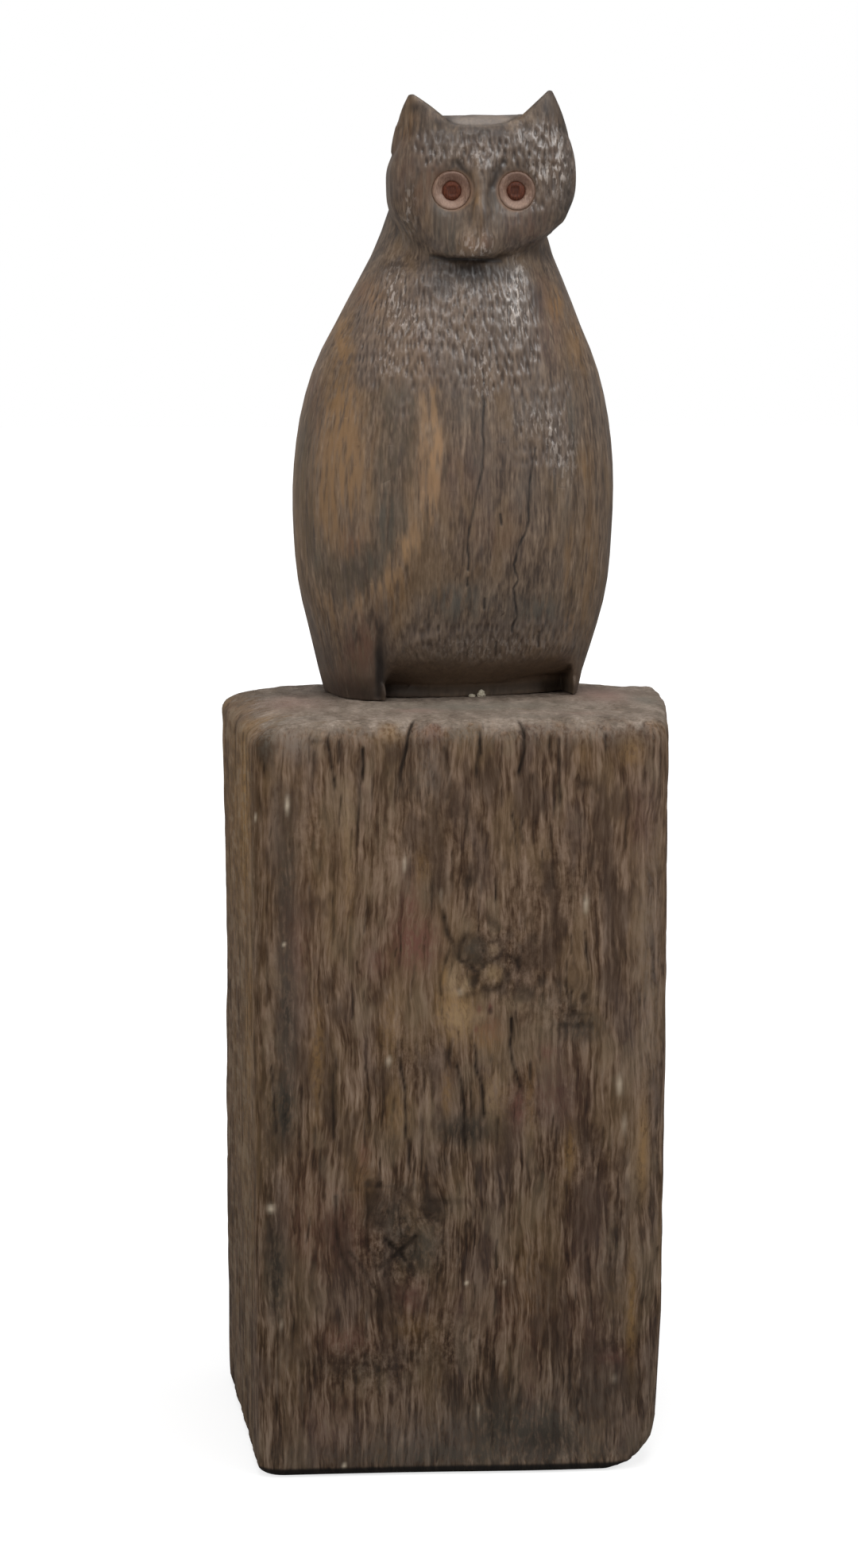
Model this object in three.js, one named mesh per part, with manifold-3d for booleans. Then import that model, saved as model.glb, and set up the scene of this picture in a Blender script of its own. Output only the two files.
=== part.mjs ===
// A carved wooden cat on a squared timber block, in millimetres, +Z up.
// The origin is the middle of the block's footprint and the block's front faces -Y.
import * as THREE from "three";
import { mergeVertices } from "three/addons/utils/BufferGeometryUtils.js";
import Module from "manifold-3d";

const wasm = await Module();
wasm.setup();

// Clearance between pieces that touch on the real object.
const GAP = 0.3;

// Block: an 8 inch squared baulk, hewn a little wider at the back, with worn arrises and feet.
const BLOCK_SIDE = 207;
const BLOCK_HEIGHT = 381.5;
const BACK_SPREAD_LEFT = 8.5;
const BACK_SPREAD_RIGHT = 16.5;
const BLOCK_X = (BACK_SPREAD_LEFT - BACK_SPREAD_RIGHT) / 2;
const BLOCK_TAPER = 0.8;
const FRONT_CORNER = 11;
const BACK_CORNER = 32;
const TOP_ROUND = { left: [34, 12], right: [3, 4], front: [11, 11], back: [17, 14] };
const FOOT_ROUND = { left: [6, 6], right: [22, 22], front: [5, 5], back: [5, 5] };
const FOOT_WEAR = 7;
const FOOT_WEAR_RISE = 80;

// Cat: where its axis stands on the block, and its turn, counterclockwise from above.
const CAT_X = BLOCK_X + 7;
const CAT_Y = 45;
const CAT_TURN = 10;
const CAT_SEAT = BLOCK_HEIGHT + GAP;

// Body stations: height above the seat, half width, depth to the front, depth to the back,
// shift to the side, shift to the back, squareness of the section.
const BODY = [
  [0, 64.7, 48, 38, -0.1, 0, 4],
  [12, 68.2, 52, 41, -0.3, 0, 3.3],
  [30, 74.1, 58, 46, 0.8, 0, 2.8],
  [55, 81.4, 63, 52, 1.6, 0, 2.4],
  [88, 84.6, 67, 55, 1.5, 0, 2.3],
  [118, 84.9, 67, 56, 1.9, 0, 2.25],
  [148, 81.1, 65, 56, 2.5, 0, 2.2],
  [174, 73.6, 61, 55, 3, -1, 2.2],
  [195, 63.5, 57, 52, 3.8, -2, 2.2],
  [211, 55.9, 53, 49, 4.8, -2.5, 2.2],
  [224, 49.1, 49, 47, 5.6, -3, 2.2],
  [237, 43.2, 45, 45, 6, -3, 2.2],
  [254, 38, 39, 41, 7, -3, 2.2],
  [272, 31, 30, 34, 8, -3, 2.1],
  [289, 16, 14, 18, 8, -3, 2],
];
const BODY_ROWS = 24;
const BODY_COLUMNS = 48;

// Cove: the belly is undercut above the seat, between the haunches, and further to the right.
const COVE_LEFT = -46;
const COVE_RIGHT = 57;
const COVE_WALL = 35;
const COVE_WALL_CURVE = 11;
const COVE_HEIGHT = 10;
const COVE_LIP = 22;

// Head: the middle of its face disc in the body's frame, its turn against the body, and its
// stations, in the same order as the body's.
const HEAD_X = 6.8;
const HEAD_Y = -38.8;
const HEAD_TURN = -7;
const HEAD = [
  [226.5, 15.5, 21, 38, -8.6, 0, 3.0],
  [229.5, 23.5, 22.5, 46, -6.5, 0, 2.8],
  [233.5, 31, 23, 53, -4, 0, 2.7],
  [238, 36.4, 23, 59, -2.2, 0, 2.6],
  [245, 42.3, 22.5, 64, -1.4, 0, 2.5],
  [254, 46.4, 21.5, 67, -1, 0, 2.5],
  [263, 47.9, 21, 69, -0.2, 0, 2.5],
  [272, 47.8, 20.5, 69, 0, 0, 2.5],
  [281, 45.4, 20, 66, 1, 0, 2.6],
  [289, 42.5, 19, 60, 1.5, 0.5, 2.7],
  [295, 39, 18, 50, 1.6, 2.5, 2.7],
  [298.5, 35, 16, 40, 1.5, 6, 2.6],
  [300, 29, 12, 30, 2, 11, 2.5],
];
const HEAD_ROWS = 32;
const FACE_WEDGE = 0.2;
const FACE_CORE = [-22.5, 5.5];
const LEFT_COLUMNS = 12;
const CORE_COLUMNS = 16;
const RIGHT_COLUMNS = 15;
const BACK_COLUMNS = 17;

// Nose: a narrow bridge that widens downwards into a wedge muzzle, left of the middle.
const BRIDGE_X = -4;
const BRIDGE_HEIGHT = 3;
const BRIDGE_WIDTH = 5;
const MUZZLE_X = -6;
const MUZZLE_TOP = 268;
const MUZZLE_FLAT = 6;
const MUZZLE_LEFT = 17;
const MUZZLE_RIGHT = 13;
const MUZZLE_HEIGHT = 5;

// Ears: curved pyramids flush with the face, the left one the wider. Each has its tip, and how
// far from the middle the outer edge leaves the head and the inner edge meets the crown.
const EARS = {
  left: { sign: -1, tipX: 37, tipZ: 309, outer: 45, inner: 17.5 },
  right: { sign: 1, tipX: 34, tipZ: 311.5, outer: 46, inner: 16 },
};
const EAR_FOOT_Z = 280;
const EAR_CREASE_Z = 295;
const EAR_LEAN = 5;
const EAR_THICKNESS = 20;
const EAR_BLUNT = 2;

// Eyes: a dished ring let into the face round a domed plug.
const EYES = { left: -18.1, right: 15 };
const EYE_Z = 260.2;
const EYE_TURN = 9;
const EYE_HOLLOW = 2.4;
const EYE_HOLLOW_RADIUS = 14;
const RING_RADIUS = 9.4;
const RING_BORE = 5.2;
const RING_DEPTH = 4;
const RING_RIM = 1.1;
const RING_DISH = 1.7;
const PUPIL_DOME = 1.5;

const { lerp, smoothstep: smooth } = THREE.MathUtils;

// A signed power keeps the sign of its base, for superellipse sections.
const signedPower = (value, exponent) => Math.sign(value) * Math.abs(value) ** exponent;

// A smooth curve through the stations: gives the values at any height.
function stationCurve(stations) {
  const heights = stations.map((station) => station[0]);
  const values = stations.flatMap((station) => station.slice(1));
  const curve = new THREE.CubicInterpolant(heights, values, stations[0].length - 1);
  return (height) => Array.from(curve.evaluate(height));
}

// A closed surface through rows of points, with a fan over each end.
function loft(rows, columns, pointAt) {
  const points = [];
  const indices = [];
  for (let row = 0; row <= rows; row += 1) {
    for (let column = 0; column < columns; column += 1) {
      points.push(pointAt(row / rows, column / columns));
    }
  }
  const next = (column) => (column + 1) % columns;
  for (let row = 0; row < rows; row += 1) {
    for (let column = 0; column < columns; column += 1) {
      const a = row * columns + column;
      const b = row * columns + next(column);
      indices.push(a, b, b + columns, a, b + columns, a + columns);
    }
  }
  for (const first of [0, rows * columns]) {
    const ring = points.slice(first, first + columns);
    const middle = ring.reduce((sum, point) => sum.add(point), new THREE.Vector3());
    const centre = points.push(middle.divideScalar(columns)) - 1;
    for (let column = 0; column < columns; column += 1) {
      const edge = [first + column, first + next(column)];
      indices.push(...(first ? edge : edge.reverse()), centre);
    }
  }
  const geometry = new THREE.BufferGeometry().setFromPoints(points);
  geometry.setIndex(indices);
  return toSolid(geometry);
}

function toSolid(geometry) {
  const bare = geometry.clone();
  bare.deleteAttribute("normal");
  bare.deleteAttribute("uv");
  const merged = mergeVertices(bare, 1e-4);
  return new wasm.Manifold(
    new wasm.Mesh({
      numProp: 3,
      vertProperties: merged.attributes.position.array,
      triVerts: new Uint32Array(merged.index.array),
    }),
  );
}

function toGeometry(solid) {
  const { vertProperties, triVerts } = solid.getMesh();
  const geometry = new THREE.BufferGeometry();
  geometry.setAttribute("position", new THREE.BufferAttribute(vertProperties, 3));
  geometry.setIndex(new THREE.BufferAttribute(triVerts, 1));
  geometry.computeVertexNormals();
  return geometry;
}

// How far a side draws in at a distance from an end that it meets in a round of that width
// and height.
function drawIn(distance, [width, height]) {
  const inside = THREE.MathUtils.clamp(1 - distance / height, 0, 1);
  return width * (1 - Math.sqrt(1 - inside * inside));
}

// Block: a rounded square, corner by corner, on levels that crowd towards both ends. The foot
// of its right side is worn back further than the others.
const BLOCK_LEVELS = [0, 0.8, 2.5, 5, 9, 14, 22, 45, 80, 170, 260, 340].concat(
  [14, 10, 7, 4, 2, 0.8, 0].map((depth) => BLOCK_HEIGHT - depth),
);
const CORNER_STEPS = 7;

function blockPoint(fraction, around) {
  const height = BLOCK_LEVELS[Math.round(fraction * (BLOCK_LEVELS.length - 1))];
  const step = Math.round(around * 4 * (CORNER_STEPS + 1));
  const quarter = Math.floor(step / (CORNER_STEPS + 1));
  const turn = ((step % (CORNER_STEPS + 1)) / CORNER_STEPS + quarter) * (Math.PI / 2);
  const [onRight, atBack] = [quarter % 3 === 0, quarter < 2];
  const half = BLOCK_SIDE / 2;
  const corner = atBack ? BACK_CORNER : FRONT_CORNER;
  const spread = onRight ? BACK_SPREAD_RIGHT : BACK_SPREAD_LEFT;
  const reach = half + (atBack ? spread : 0);
  const x = (onRight ? 1 : -1) * (reach - corner) + corner * Math.cos(turn);
  const y = (atBack ? 1 : -1) * (half - corner) + corner * Math.sin(turn);
  const taper = BLOCK_TAPER * (1 - height / BLOCK_HEIGHT);
  const draw = (side) =>
    taper + drawIn(BLOCK_HEIGHT - height, TOP_ROUND[side]) + drawIn(height, FOOT_ROUND[side]);
  const wear = onRight ? FOOT_WEAR * Math.max(0, 1 - height / FOOT_WEAR_RISE) ** 1.5 : 0;
  const across = 1 - (draw(onRight ? "right" : "left") + wear) / reach;
  const along = 1 - draw(atBack ? "back" : "front") / half;
  return new THREE.Vector3(BLOCK_X + x * across, y * along, height);
}

// A point on the section of a body or head at a height: a superellipse with its own depth
// in front and behind.
function sectionPoint(values, height, around) {
  const [half, front, back, side, behind, square] = values;
  const angle = around * Math.PI * 2;
  const across = signedPower(Math.cos(angle), 2 / square);
  const along = signedPower(Math.sin(angle), 2 / square);
  const depth = along < 0 ? front : back;
  return new THREE.Vector3(side + half * across, behind + depth * along, height);
}

// How far the same section stands in front of its frame's origin at x.
function frontDepth([half, front, , side, behind, square], x) {
  const across = Math.min(1, Math.abs((x - side) / half));
  return front * (1 - across ** square) ** (1 / square) - behind;
}

const bodyAt = stationCurve(BODY);

function bodyPoint(fraction, around) {
  const height = BODY.at(-1)[0] * fraction;
  return sectionPoint(bodyAt(height), height, around);
}

// Cove cutter: upright sections across the belly. Each has a wall and, in front of it, a ceiling
// that flares up past the lip.
const COVE_STEPS = 10;
const COVE_REACH = 2;

function covePoint(fraction, around) {
  const x = lerp(COVE_LEFT, COVE_RIGHT, fraction);
  const wall = -COVE_WALL + COVE_WALL_CURVE * (x / COVE_LEFT) ** 2;
  const lip = -frontDepth(bodyAt(COVE_LIP), x);
  const step = Math.round(around * (COVE_STEPS + 3));
  if (step > COVE_STEPS) {
    return new THREE.Vector3(x, lerp(wall, lip, step === COVE_STEPS + 1 ? COVE_REACH : 0), -5);
  }
  const reach = (COVE_REACH * step) / COVE_STEPS;
  const ceiling = COVE_HEIGHT + (COVE_LIP - COVE_HEIGHT) * reach ** 1.6;
  return new THREE.Vector3(x, lerp(wall, lip, reach), ceiling);
}

// How far the bridge and the muzzle stand out of the face.
function noseHeight(x, z) {
  const across = (x - BRIDGE_X) / BRIDGE_WIDTH;
  const along = smooth(z, 238, 252) * (1 - smooth(z, 270, 281));
  const bridge = BRIDGE_HEIGHT * Math.exp(-across * across) * along;
  const offset = x - MUZZLE_X;
  const swell = 1 - smooth(z, 228, MUZZLE_TOP);
  const foot = offset < 0 ? MUZZLE_LEFT : MUZZLE_RIGHT;
  const side = 1 - smooth(Math.abs(offset), MUZZLE_FLAT * swell, foot);
  return bridge + MUZZLE_HEIGHT * swell * side;
}

function eyeHollow(x, z) {
  const dish = (eyeX) => 1 - smooth(Math.hypot(x - eyeX, z - EYE_Z), 5, EYE_HOLLOW_RADIUS);
  return EYE_HOLLOW * (dish(EYES.left) + dish(EYES.right));
}

const headAt = stationCurve(HEAD);

// Depth of the face at x, z, falling away to both sides, without its relief.
function faceDepth(x, z) {
  const values = headAt(z);
  const across = Math.min(1, Math.abs((x - values[3]) / values[0]));
  const fall = FACE_WEDGE * across * (frontDepth(values, x) + values[4]);
  return frontDepth(values, x) - fall;
}

// The face's columns run level from left to right: those of the core stay upright from the
// chin to the crown, and the others spread from it to the rim.
function faceColumnX(column, low, high) {
  const [coreLow, coreHigh] = FACE_CORE;
  if (column < LEFT_COLUMNS) {
    return lerp(coreLow, low, Math.cos((column / LEFT_COLUMNS) * (Math.PI / 2)));
  }
  const inCore = (column - LEFT_COLUMNS) / CORE_COLUMNS;
  if (inCore <= 1) {
    return lerp(coreLow, coreHigh, inCore);
  }
  const outside = (column - LEFT_COLUMNS - CORE_COLUMNS) / RIGHT_COLUMNS;
  return lerp(coreHigh, high, Math.sin(outside * (Math.PI / 2)));
}

const FACE_COLUMNS = LEFT_COLUMNS + CORE_COLUMNS + RIGHT_COLUMNS;
const HEAD_COLUMNS = FACE_COLUMNS + BACK_COLUMNS;

function headPoint(fraction, around) {
  const height = lerp(HEAD[0][0], HEAD.at(-1)[0], fraction);
  const values = headAt(height);
  const [half, , , side] = values;
  const column = Math.round(around * HEAD_COLUMNS);
  if (column > FACE_COLUMNS) {
    return sectionPoint(values, height, (column - FACE_COLUMNS) / BACK_COLUMNS / 2);
  }
  const x = faceColumnX(column, side - half, side + half);
  const fade = 1 - smooth(Math.abs(x - side) / half, 0.75, 0.98);
  const relief = (noseHeight(x, height) - eyeHollow(x, height)) * fade;
  return new THREE.Vector3(x, -faceDepth(x, height) - relief, height);
}

// An ear in level sections from its foot to the tip: its front carries on the face.
function earPoint({ sign, tipX, tipZ, outer, inner }, fraction, around) {
  const height = lerp(EAR_FOOT_Z, tipZ, fraction);
  const climb = Math.max(0, (height - EAR_CREASE_Z) / (tipZ - EAR_CREASE_Z));
  const far = lerp(outer, tipX, fraction ** 1.6);
  const near = lerp(inner, tipX, climb);
  const half = (far - near + EAR_BLUNT) / 2;
  const angle = around * Math.PI * 2;
  const x = (sign * (far + near)) / 2 + half * signedPower(Math.cos(angle), 0.8);
  const face = -faceDepth(x, Math.min(height, EAR_FOOT_Z + 4));
  const thick = EAR_THICKNESS * (1 - 0.8 * fraction);
  const through = 0.5 + 0.5 * signedPower(Math.sin(angle), 0.8);
  return new THREE.Vector3(x, face + EAR_LEAN * fraction ** 1.5 + thick * through, height);
}

// A solid of revolution set in the eye on one side: the profile runs from the axis outwards
// and back, and its heights stand out of the face.
function eyePart(side, profile) {
  const points = profile.map(([radius, height]) => new THREE.Vector2(radius, height));
  const geometry = new THREE.LatheGeometry([...points, points[0]], 24);
  const x = EYES[side];
  geometry.rotateX(Math.PI);
  geometry.rotateZ(THREE.MathUtils.degToRad(Math.sign(x) * EYE_TURN));
  geometry.translate(x, EYE_HOLLOW - faceDepth(x, EYE_Z), EYE_Z);
  return toSolid(geometry);
}

const placeHead = (solid) => solid.rotate([0, 0, HEAD_TURN]).translate([HEAD_X, HEAD_Y, 0]);
const placeCat = (solid) => solid.rotate([0, 0, CAT_TURN]).translate([CAT_X, CAT_Y, CAT_SEAT]);

const ears = [EARS.left, EARS.right].map((ear) =>
  loft(8, 16, (row, around) => earPoint(ear, row, around)),
);
const sockets = ["left", "right"].map((side) =>
  eyePart(side, [
    [0, -RING_DEPTH - GAP],
    [RING_RADIUS + GAP, -RING_DEPTH - GAP],
    [RING_RADIUS + GAP, 12],
    [0, 12],
  ]),
);
const carvedHead = loft(HEAD_ROWS, HEAD_COLUMNS, headPoint)
  .add(ears[0])
  .add(ears[1])
  .subtract(sockets[0])
  .subtract(sockets[1]);
const figure = loft(BODY_ROWS, BODY_COLUMNS, bodyPoint)
  .subtract(loft(8, COVE_STEPS + 3, covePoint))
  .add(placeHead(carvedHead));

const cat = new THREE.Group();
cat.name = "carved_cat_on_block";

function addNode(name, solid, color, roughness) {
  const material = new THREE.MeshStandardMaterial({ color, roughness, metalness: 0 });
  const mesh = new THREE.Mesh(toGeometry(solid), material);
  mesh.name = name;
  cat.add(mesh);
}

addNode("timber_block", loft(BLOCK_LEVELS.length - 1, 4 * (CORNER_STEPS + 1), blockPoint), 0x5c4a3b, 0.85);
addNode("cat_figure", placeCat(figure), 0x5f4f42, 0.5);
for (const side of ["left", "right"]) {
  const ring = eyePart(side, [
    [RING_BORE, -RING_DEPTH],
    [RING_RADIUS, -RING_DEPTH],
    [RING_RADIUS, RING_RIM - 0.5],
    [RING_RADIUS - 0.5, RING_RIM],
    [RING_RADIUS - 1.6, RING_RIM - 0.2],
    [RING_BORE, RING_RIM - RING_DISH],
  ]);
  addNode(`eye_ring_${side}`, placeCat(placeHead(ring)), 0x9a7a68, 0.5);
  const dome = [0, 0.25, 0.5, 0.75, 1].map((part) => [
    (RING_BORE - GAP) * Math.cos((part * Math.PI) / 2),
    RING_RIM - RING_DISH - 0.4 + PUPIL_DOME * Math.sin((part * Math.PI) / 2),
  ]);
  dome[4][0] = 0;
  const pupil = eyePart(side, [[0, -RING_DEPTH], [RING_BORE - GAP, -RING_DEPTH], ...dome]);
  addNode(`pupil_${side}`, placeCat(placeHead(pupil)), 0x4e2f24, 0.4);
}

export default cat;
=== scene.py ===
import math

import bpy
import numpy as np
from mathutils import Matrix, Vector
from mathutils.bvhtree import BVHTree


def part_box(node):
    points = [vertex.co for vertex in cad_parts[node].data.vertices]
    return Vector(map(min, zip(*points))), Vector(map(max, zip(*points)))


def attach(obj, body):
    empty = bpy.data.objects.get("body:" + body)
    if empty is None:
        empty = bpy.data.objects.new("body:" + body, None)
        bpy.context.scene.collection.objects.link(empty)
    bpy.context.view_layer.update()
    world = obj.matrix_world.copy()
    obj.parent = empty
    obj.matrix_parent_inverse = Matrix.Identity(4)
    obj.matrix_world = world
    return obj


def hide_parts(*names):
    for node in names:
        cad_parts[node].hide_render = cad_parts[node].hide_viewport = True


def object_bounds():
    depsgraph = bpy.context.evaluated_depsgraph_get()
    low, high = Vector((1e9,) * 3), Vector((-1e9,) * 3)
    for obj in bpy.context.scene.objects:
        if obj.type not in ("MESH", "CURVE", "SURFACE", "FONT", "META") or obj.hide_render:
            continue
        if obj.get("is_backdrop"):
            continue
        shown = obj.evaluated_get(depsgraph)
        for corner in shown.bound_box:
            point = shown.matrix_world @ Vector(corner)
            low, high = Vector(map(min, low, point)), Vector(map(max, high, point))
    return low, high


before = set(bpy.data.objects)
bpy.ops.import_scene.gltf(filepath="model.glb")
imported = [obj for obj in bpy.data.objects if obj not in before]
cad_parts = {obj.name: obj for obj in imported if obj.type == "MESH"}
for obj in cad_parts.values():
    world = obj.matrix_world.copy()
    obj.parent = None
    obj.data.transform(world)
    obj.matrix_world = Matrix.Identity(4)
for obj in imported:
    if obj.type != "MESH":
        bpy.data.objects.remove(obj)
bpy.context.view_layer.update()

# The camera stands 1.85 m off, a little left of the block's front, at the height of the cat's
# seat and looking slightly down. Its frame is upright and its lens a long one.
bpy.ops.object.camera_add(
    location=(-0.17046, -1.85053, 0.5705),
    rotation=(math.radians(82.848), 0, math.radians(-4.907)),
)
camera = bpy.context.object
camera.data.sensor_width = 36
camera.data.lens = 82.58
camera.data.clip_end = 60
bpy.context.scene.camera = camera

# Timber block: an 8 inch baulk of old softwood or elm, sawn across at both ends and left
# outdoors. The grain runs upwards and has opened into short checks; there are knots and a burr
# on its front, and the edges are rounded by handling.
MM = 0.001
HASH_STEPS = np.array([73856093, 19349663, 83492791])


def smooth_noise(points, seed):
    """Smooth noise from -1 to 1 at rows of points; one unit is one step of its lattice."""
    table = np.random.default_rng(seed).uniform(-1, 1, 4096)
    cell = np.floor(points).astype(np.int64)
    part = points - cell
    part = part * part * (3 - 2 * part)
    total = np.zeros(len(points))
    for corner in np.ndindex(*(2,) * points.shape[1]):
        keys = (cell + corner) * HASH_STEPS[: points.shape[1]]
        key = np.bitwise_xor.reduce(keys, axis=1)
        share = np.prod(np.where(corner, part, 1 - part), axis=1)
        total += share * table[(key ^ (key >> 9)) & 4095]
    return total


def layered(points, seed, layers=3):
    """Noise with finer and weaker layers on it."""
    total = np.zeros(len(points))
    for layer in range(layers):
        total += smooth_noise(points * 2**layer + 17.3 * layer, seed + layer) / 2**layer
    return total


def ease(value, low, high):
    part = np.clip((value - low) / (high - low), 0, 1)
    return part * part * (3 - 2 * part)


block_tree = BVHTree.FromObject(
    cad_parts["timber_block"], bpy.context.evaluated_depsgraph_get()
)
BLOCK_TOP = 381.5
BLOCK_AXIS = np.array([-4.0, 0.0])


def block_reach(angle, height):
    """Distance in mm from the block's axis to its side, in a direction, at a height."""
    way = Vector((math.cos(angle), math.sin(angle), 0))
    start = Vector((*BLOCK_AXIS * MM, height * MM)) + way * 0.4
    hit = block_tree.ray_cast(start, -way)[0]
    return 400 - (hit - start).length / MM


# Columns of the side surface, close together on the front, where the relief is fine, and wider
# apart round the sides and back. Each is a direction from the axis and a place on the girth,
# which is measured from the middle of the front and meets itself at the back.
girth_angles = np.radians(np.arange(-270, 90.01, 0.05))
girth_reach = np.array([block_reach(angle, 200) for angle in girth_angles])
girth_points = np.c_[np.cos(girth_angles), np.sin(girth_angles)] * girth_reach[:, None]
girth_steps = np.hypot(*np.diff(girth_points, axis=0).T)
girth = np.r_[0, np.cumsum(girth_steps)]
spacing = np.interp(
    np.degrees(girth_angles),
    [-270, -228, -222, -180, -141, -134, -50, -42, 40, 50, 90],
    [4.2, 4.2, 2.8, 2.2, 1.4, 0.7, 0.7, 2.6, 2.8, 4.2, 4.2],
)
count = np.r_[0, np.cumsum(girth_steps / spacing[1:])]
columns = int(count[-1])
column_girth = np.interp(np.arange(columns) / columns * count[-1], count, girth)
column_angle = np.interp(column_girth, girth, girth_angles)
column_girth = column_girth - np.interp(math.radians(-90), girth_angles, girth) + BLOCK_AXIS[0]
GIRTH = girth[-1]

# Rows of it, closest at the knots.
rise = [0.05, 0.8, 2, 3.5, 5.5, 8, 11, 14.5, 18.5, 22.5]
drop = [16, 13.5, 11.5, 9.5, 7.7, 6, 4.5, 3.2, 2.1, 1.2, 0.5, 0.12]
heights = np.linspace(26, BLOCK_TOP - 19, 2000)
row_steps = np.interp(
    heights, [84, 92, 150, 158, 218, 226, 272, 280], [3.5, 1.5, 1.5, 3.4, 3.4, 1.6, 1.6, 3.1]
)
count = np.r_[0, np.cumsum(np.diff(heights) / row_steps[1:])]
middle_rows = np.interp(np.linspace(0, count[-1], int(count[-1])), count, heights)
row_height = np.r_[rise, middle_rows, [BLOCK_TOP - depth for depth in drop]]
rows = len(row_height)

side = np.array(
    [
        [
            (math.cos(a) * r + BLOCK_AXIS[0], math.sin(a) * r + BLOCK_AXIS[1], height)
            for a in column_angle
            for r in [block_reach(a, height)]
        ]
        for height in row_height
    ]
)
top_shares = [0.985, 0.965, 0.94, 0.91, 0.88, 0.85, 0.82, 0.79, 0.75, 0.7, 0.64, 0.55, 0.4, 0.2]
foot_shares = [0.97, 0.9, 0.75, 0.5, 0.25]
axis_point = np.array([*BLOCK_AXIS, 0])


def cap_ring(edge, share, height):
    ring = axis_point + (edge - axis_point) * [share, share, 0]
    ring[:, 2] = height
    return ring


top_rings = [cap_ring(side[-1], share, BLOCK_TOP) for share in top_shares]
foot_rings = [cap_ring(side[0], share, 0) for share in reversed(foot_shares)]
grid = np.array([*foot_rings, *side, *top_rings])
block_points = np.vstack([grid.reshape(-1, 3), [*BLOCK_AXIS, 0], [*BLOCK_AXIS, BLOCK_TOP]])
lines = len(grid)
index = np.arange(lines * columns).reshape(lines, columns)
beside = np.roll(index, -1, axis=1)
block_faces = np.stack([index[:-1], beside[:-1], beside[1:], index[1:]], axis=-1).reshape(-1, 4)
foot_fan = [(index[0, (c + 1) % columns], index[0, c], lines * columns) for c in range(columns)]
top_fan = [
    (index[-1, c], index[-1, (c + 1) % columns], lines * columns + 1) for c in range(columns)
]

# Relief of the sides, in mm outwards, on the rows and columns of the side surface.
side_girth = np.broadcast_to(column_girth, (rows, columns))
side_height = np.broadcast_to(row_height[:, None], (rows, columns))

# Knots push the grain aside: girth place, height, radius.
KNOTS = [(-35, 115, 15), (3, 262, 11), (26, 247, 7), (-18, 139, 8), (-50, 150, 5), (52, 252, 6)]
sway = np.zeros((rows, columns))
for place, height, radius in KNOTS:
    aside = (side_girth - place) / radius
    near = np.exp(-np.abs(aside) / 1.6) * np.exp(-(((side_height - height) / radius / 2) ** 2))
    sway -= radius * 0.75 * np.tanh(aside * 1.5) * near



def round_block(noise_at):
    """Noise of girth place and height whose two ends are blended together at the back."""
    values = noise_at(np.c_[(side_girth + sway).ravel(), side_height.ravel()])
    values = values.reshape(rows, columns)
    last = column_girth > column_girth[0] + GIRTH - 20
    before = np.c_[side_girth[:, last].ravel() - GIRTH, side_height[:, last].ravel()]
    before = noise_at(before).reshape(rows, -1)
    share = ease(column_girth[last], column_girth[0] + GIRTH - 20, column_girth[0] + GIRTH)
    values[:, last] += (before - values[:, last]) * share
    return values


relief = 0.30 * round_block(lambda at: layered(at / [55, 90], 11))
relief += 0.34 * round_block(lambda at: layered(at / [5.2, 60], 21))
relief += 0.16 * round_block(lambda at: layered(at / [12, 16], 25, 2))
relief += 0.26 * round_block(lambda at: layered(at / [2.0, 17], 31, 2))

# Burls, where the grain curls: girth place, height, half width, half height, strength.
BURLS = [
    (14, 262, 24, 20, 1.0), (-36, 118, 22, 24, 1.0), (-50, 58, 24, 15, 0.8), (-14, 68, 22, 18, 0.7),
    (44, 236, 18, 12, 0.7), (26, 190, 14, 16, 0.5), (-30, 215, 18, 16, 0.5), (70, 62, 16, 8, 0.5),
    (40, 300, 30, 30, 0.45), (-20, 320, 40, 30, 0.35), (56, 160, 18, 20, 0.4), (-80, 330, 16, 20, 0.4),
]


def blot(across, up, marks):
    """How far each place lies in a list of soft oval marks, from 0 to about 1."""
    strength = np.zeros(np.shape(across))
    for x, z, half_width, half_height, share in marks:
        far = ((across - x) / half_width) ** 2 + ((up - z) / half_height) ** 2
        strength = np.maximum(strength, share * np.exp(-far))
    return strength


burl = blot(side_girth, side_height, BURLS)
curls = round_block(lambda at: layered(at / [3.4, 5.0], 35, 2))
relief += 0.30 * burl * curls
check_depth = np.zeros((rows, columns))


def open_check(line, width, depth, seed):
    """A crack in the side along a line of (girth place, height), of changing depth."""
    line = np.array(line, float)
    low, high = line.min(axis=0) - 3, line.max(axis=0) + 3
    in_rows = np.flatnonzero((row_height > low[1]) & (row_height < high[1]))
    in_columns = np.flatnonzero((column_girth > low[0]) & (column_girth < high[0]))
    if len(in_rows) == 0 or len(in_columns) == 0:
        return
    across, up = np.meshgrid(column_girth[in_columns], row_height[in_rows])
    shake = smooth_noise(np.c_[up.ravel() / 5, across.ravel() / 9 + 7 * seed], 5)
    across = across + 0.5 * shake.reshape(across.shape)
    strongest = np.zeros(across.shape)
    for (x0, z0), (x1, z1) in zip(line, line[1:]):
        run_x, run_z = x1 - x0, z1 - z0
        along = ((across - x0) * run_x + (up - z0) * run_z) / (run_x**2 + run_z**2)
        along = np.clip(along, 0, 1)
        far = np.hypot(across - x0 - along * run_x, up - z0 - along * run_z)
        strongest = np.maximum(strongest, np.exp(-((far / width) ** 2)))
    change = smooth_noise(np.c_[up.ravel() / 3.5, across.ravel() / 2.5 + 3 * seed], 6)
    strongest *= depth * (0.78 + 0.34 * change.reshape(across.shape))
    part = np.ix_(in_rows, in_columns)
    check_depth[part] = np.maximum(check_depth[part], strongest)


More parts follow.
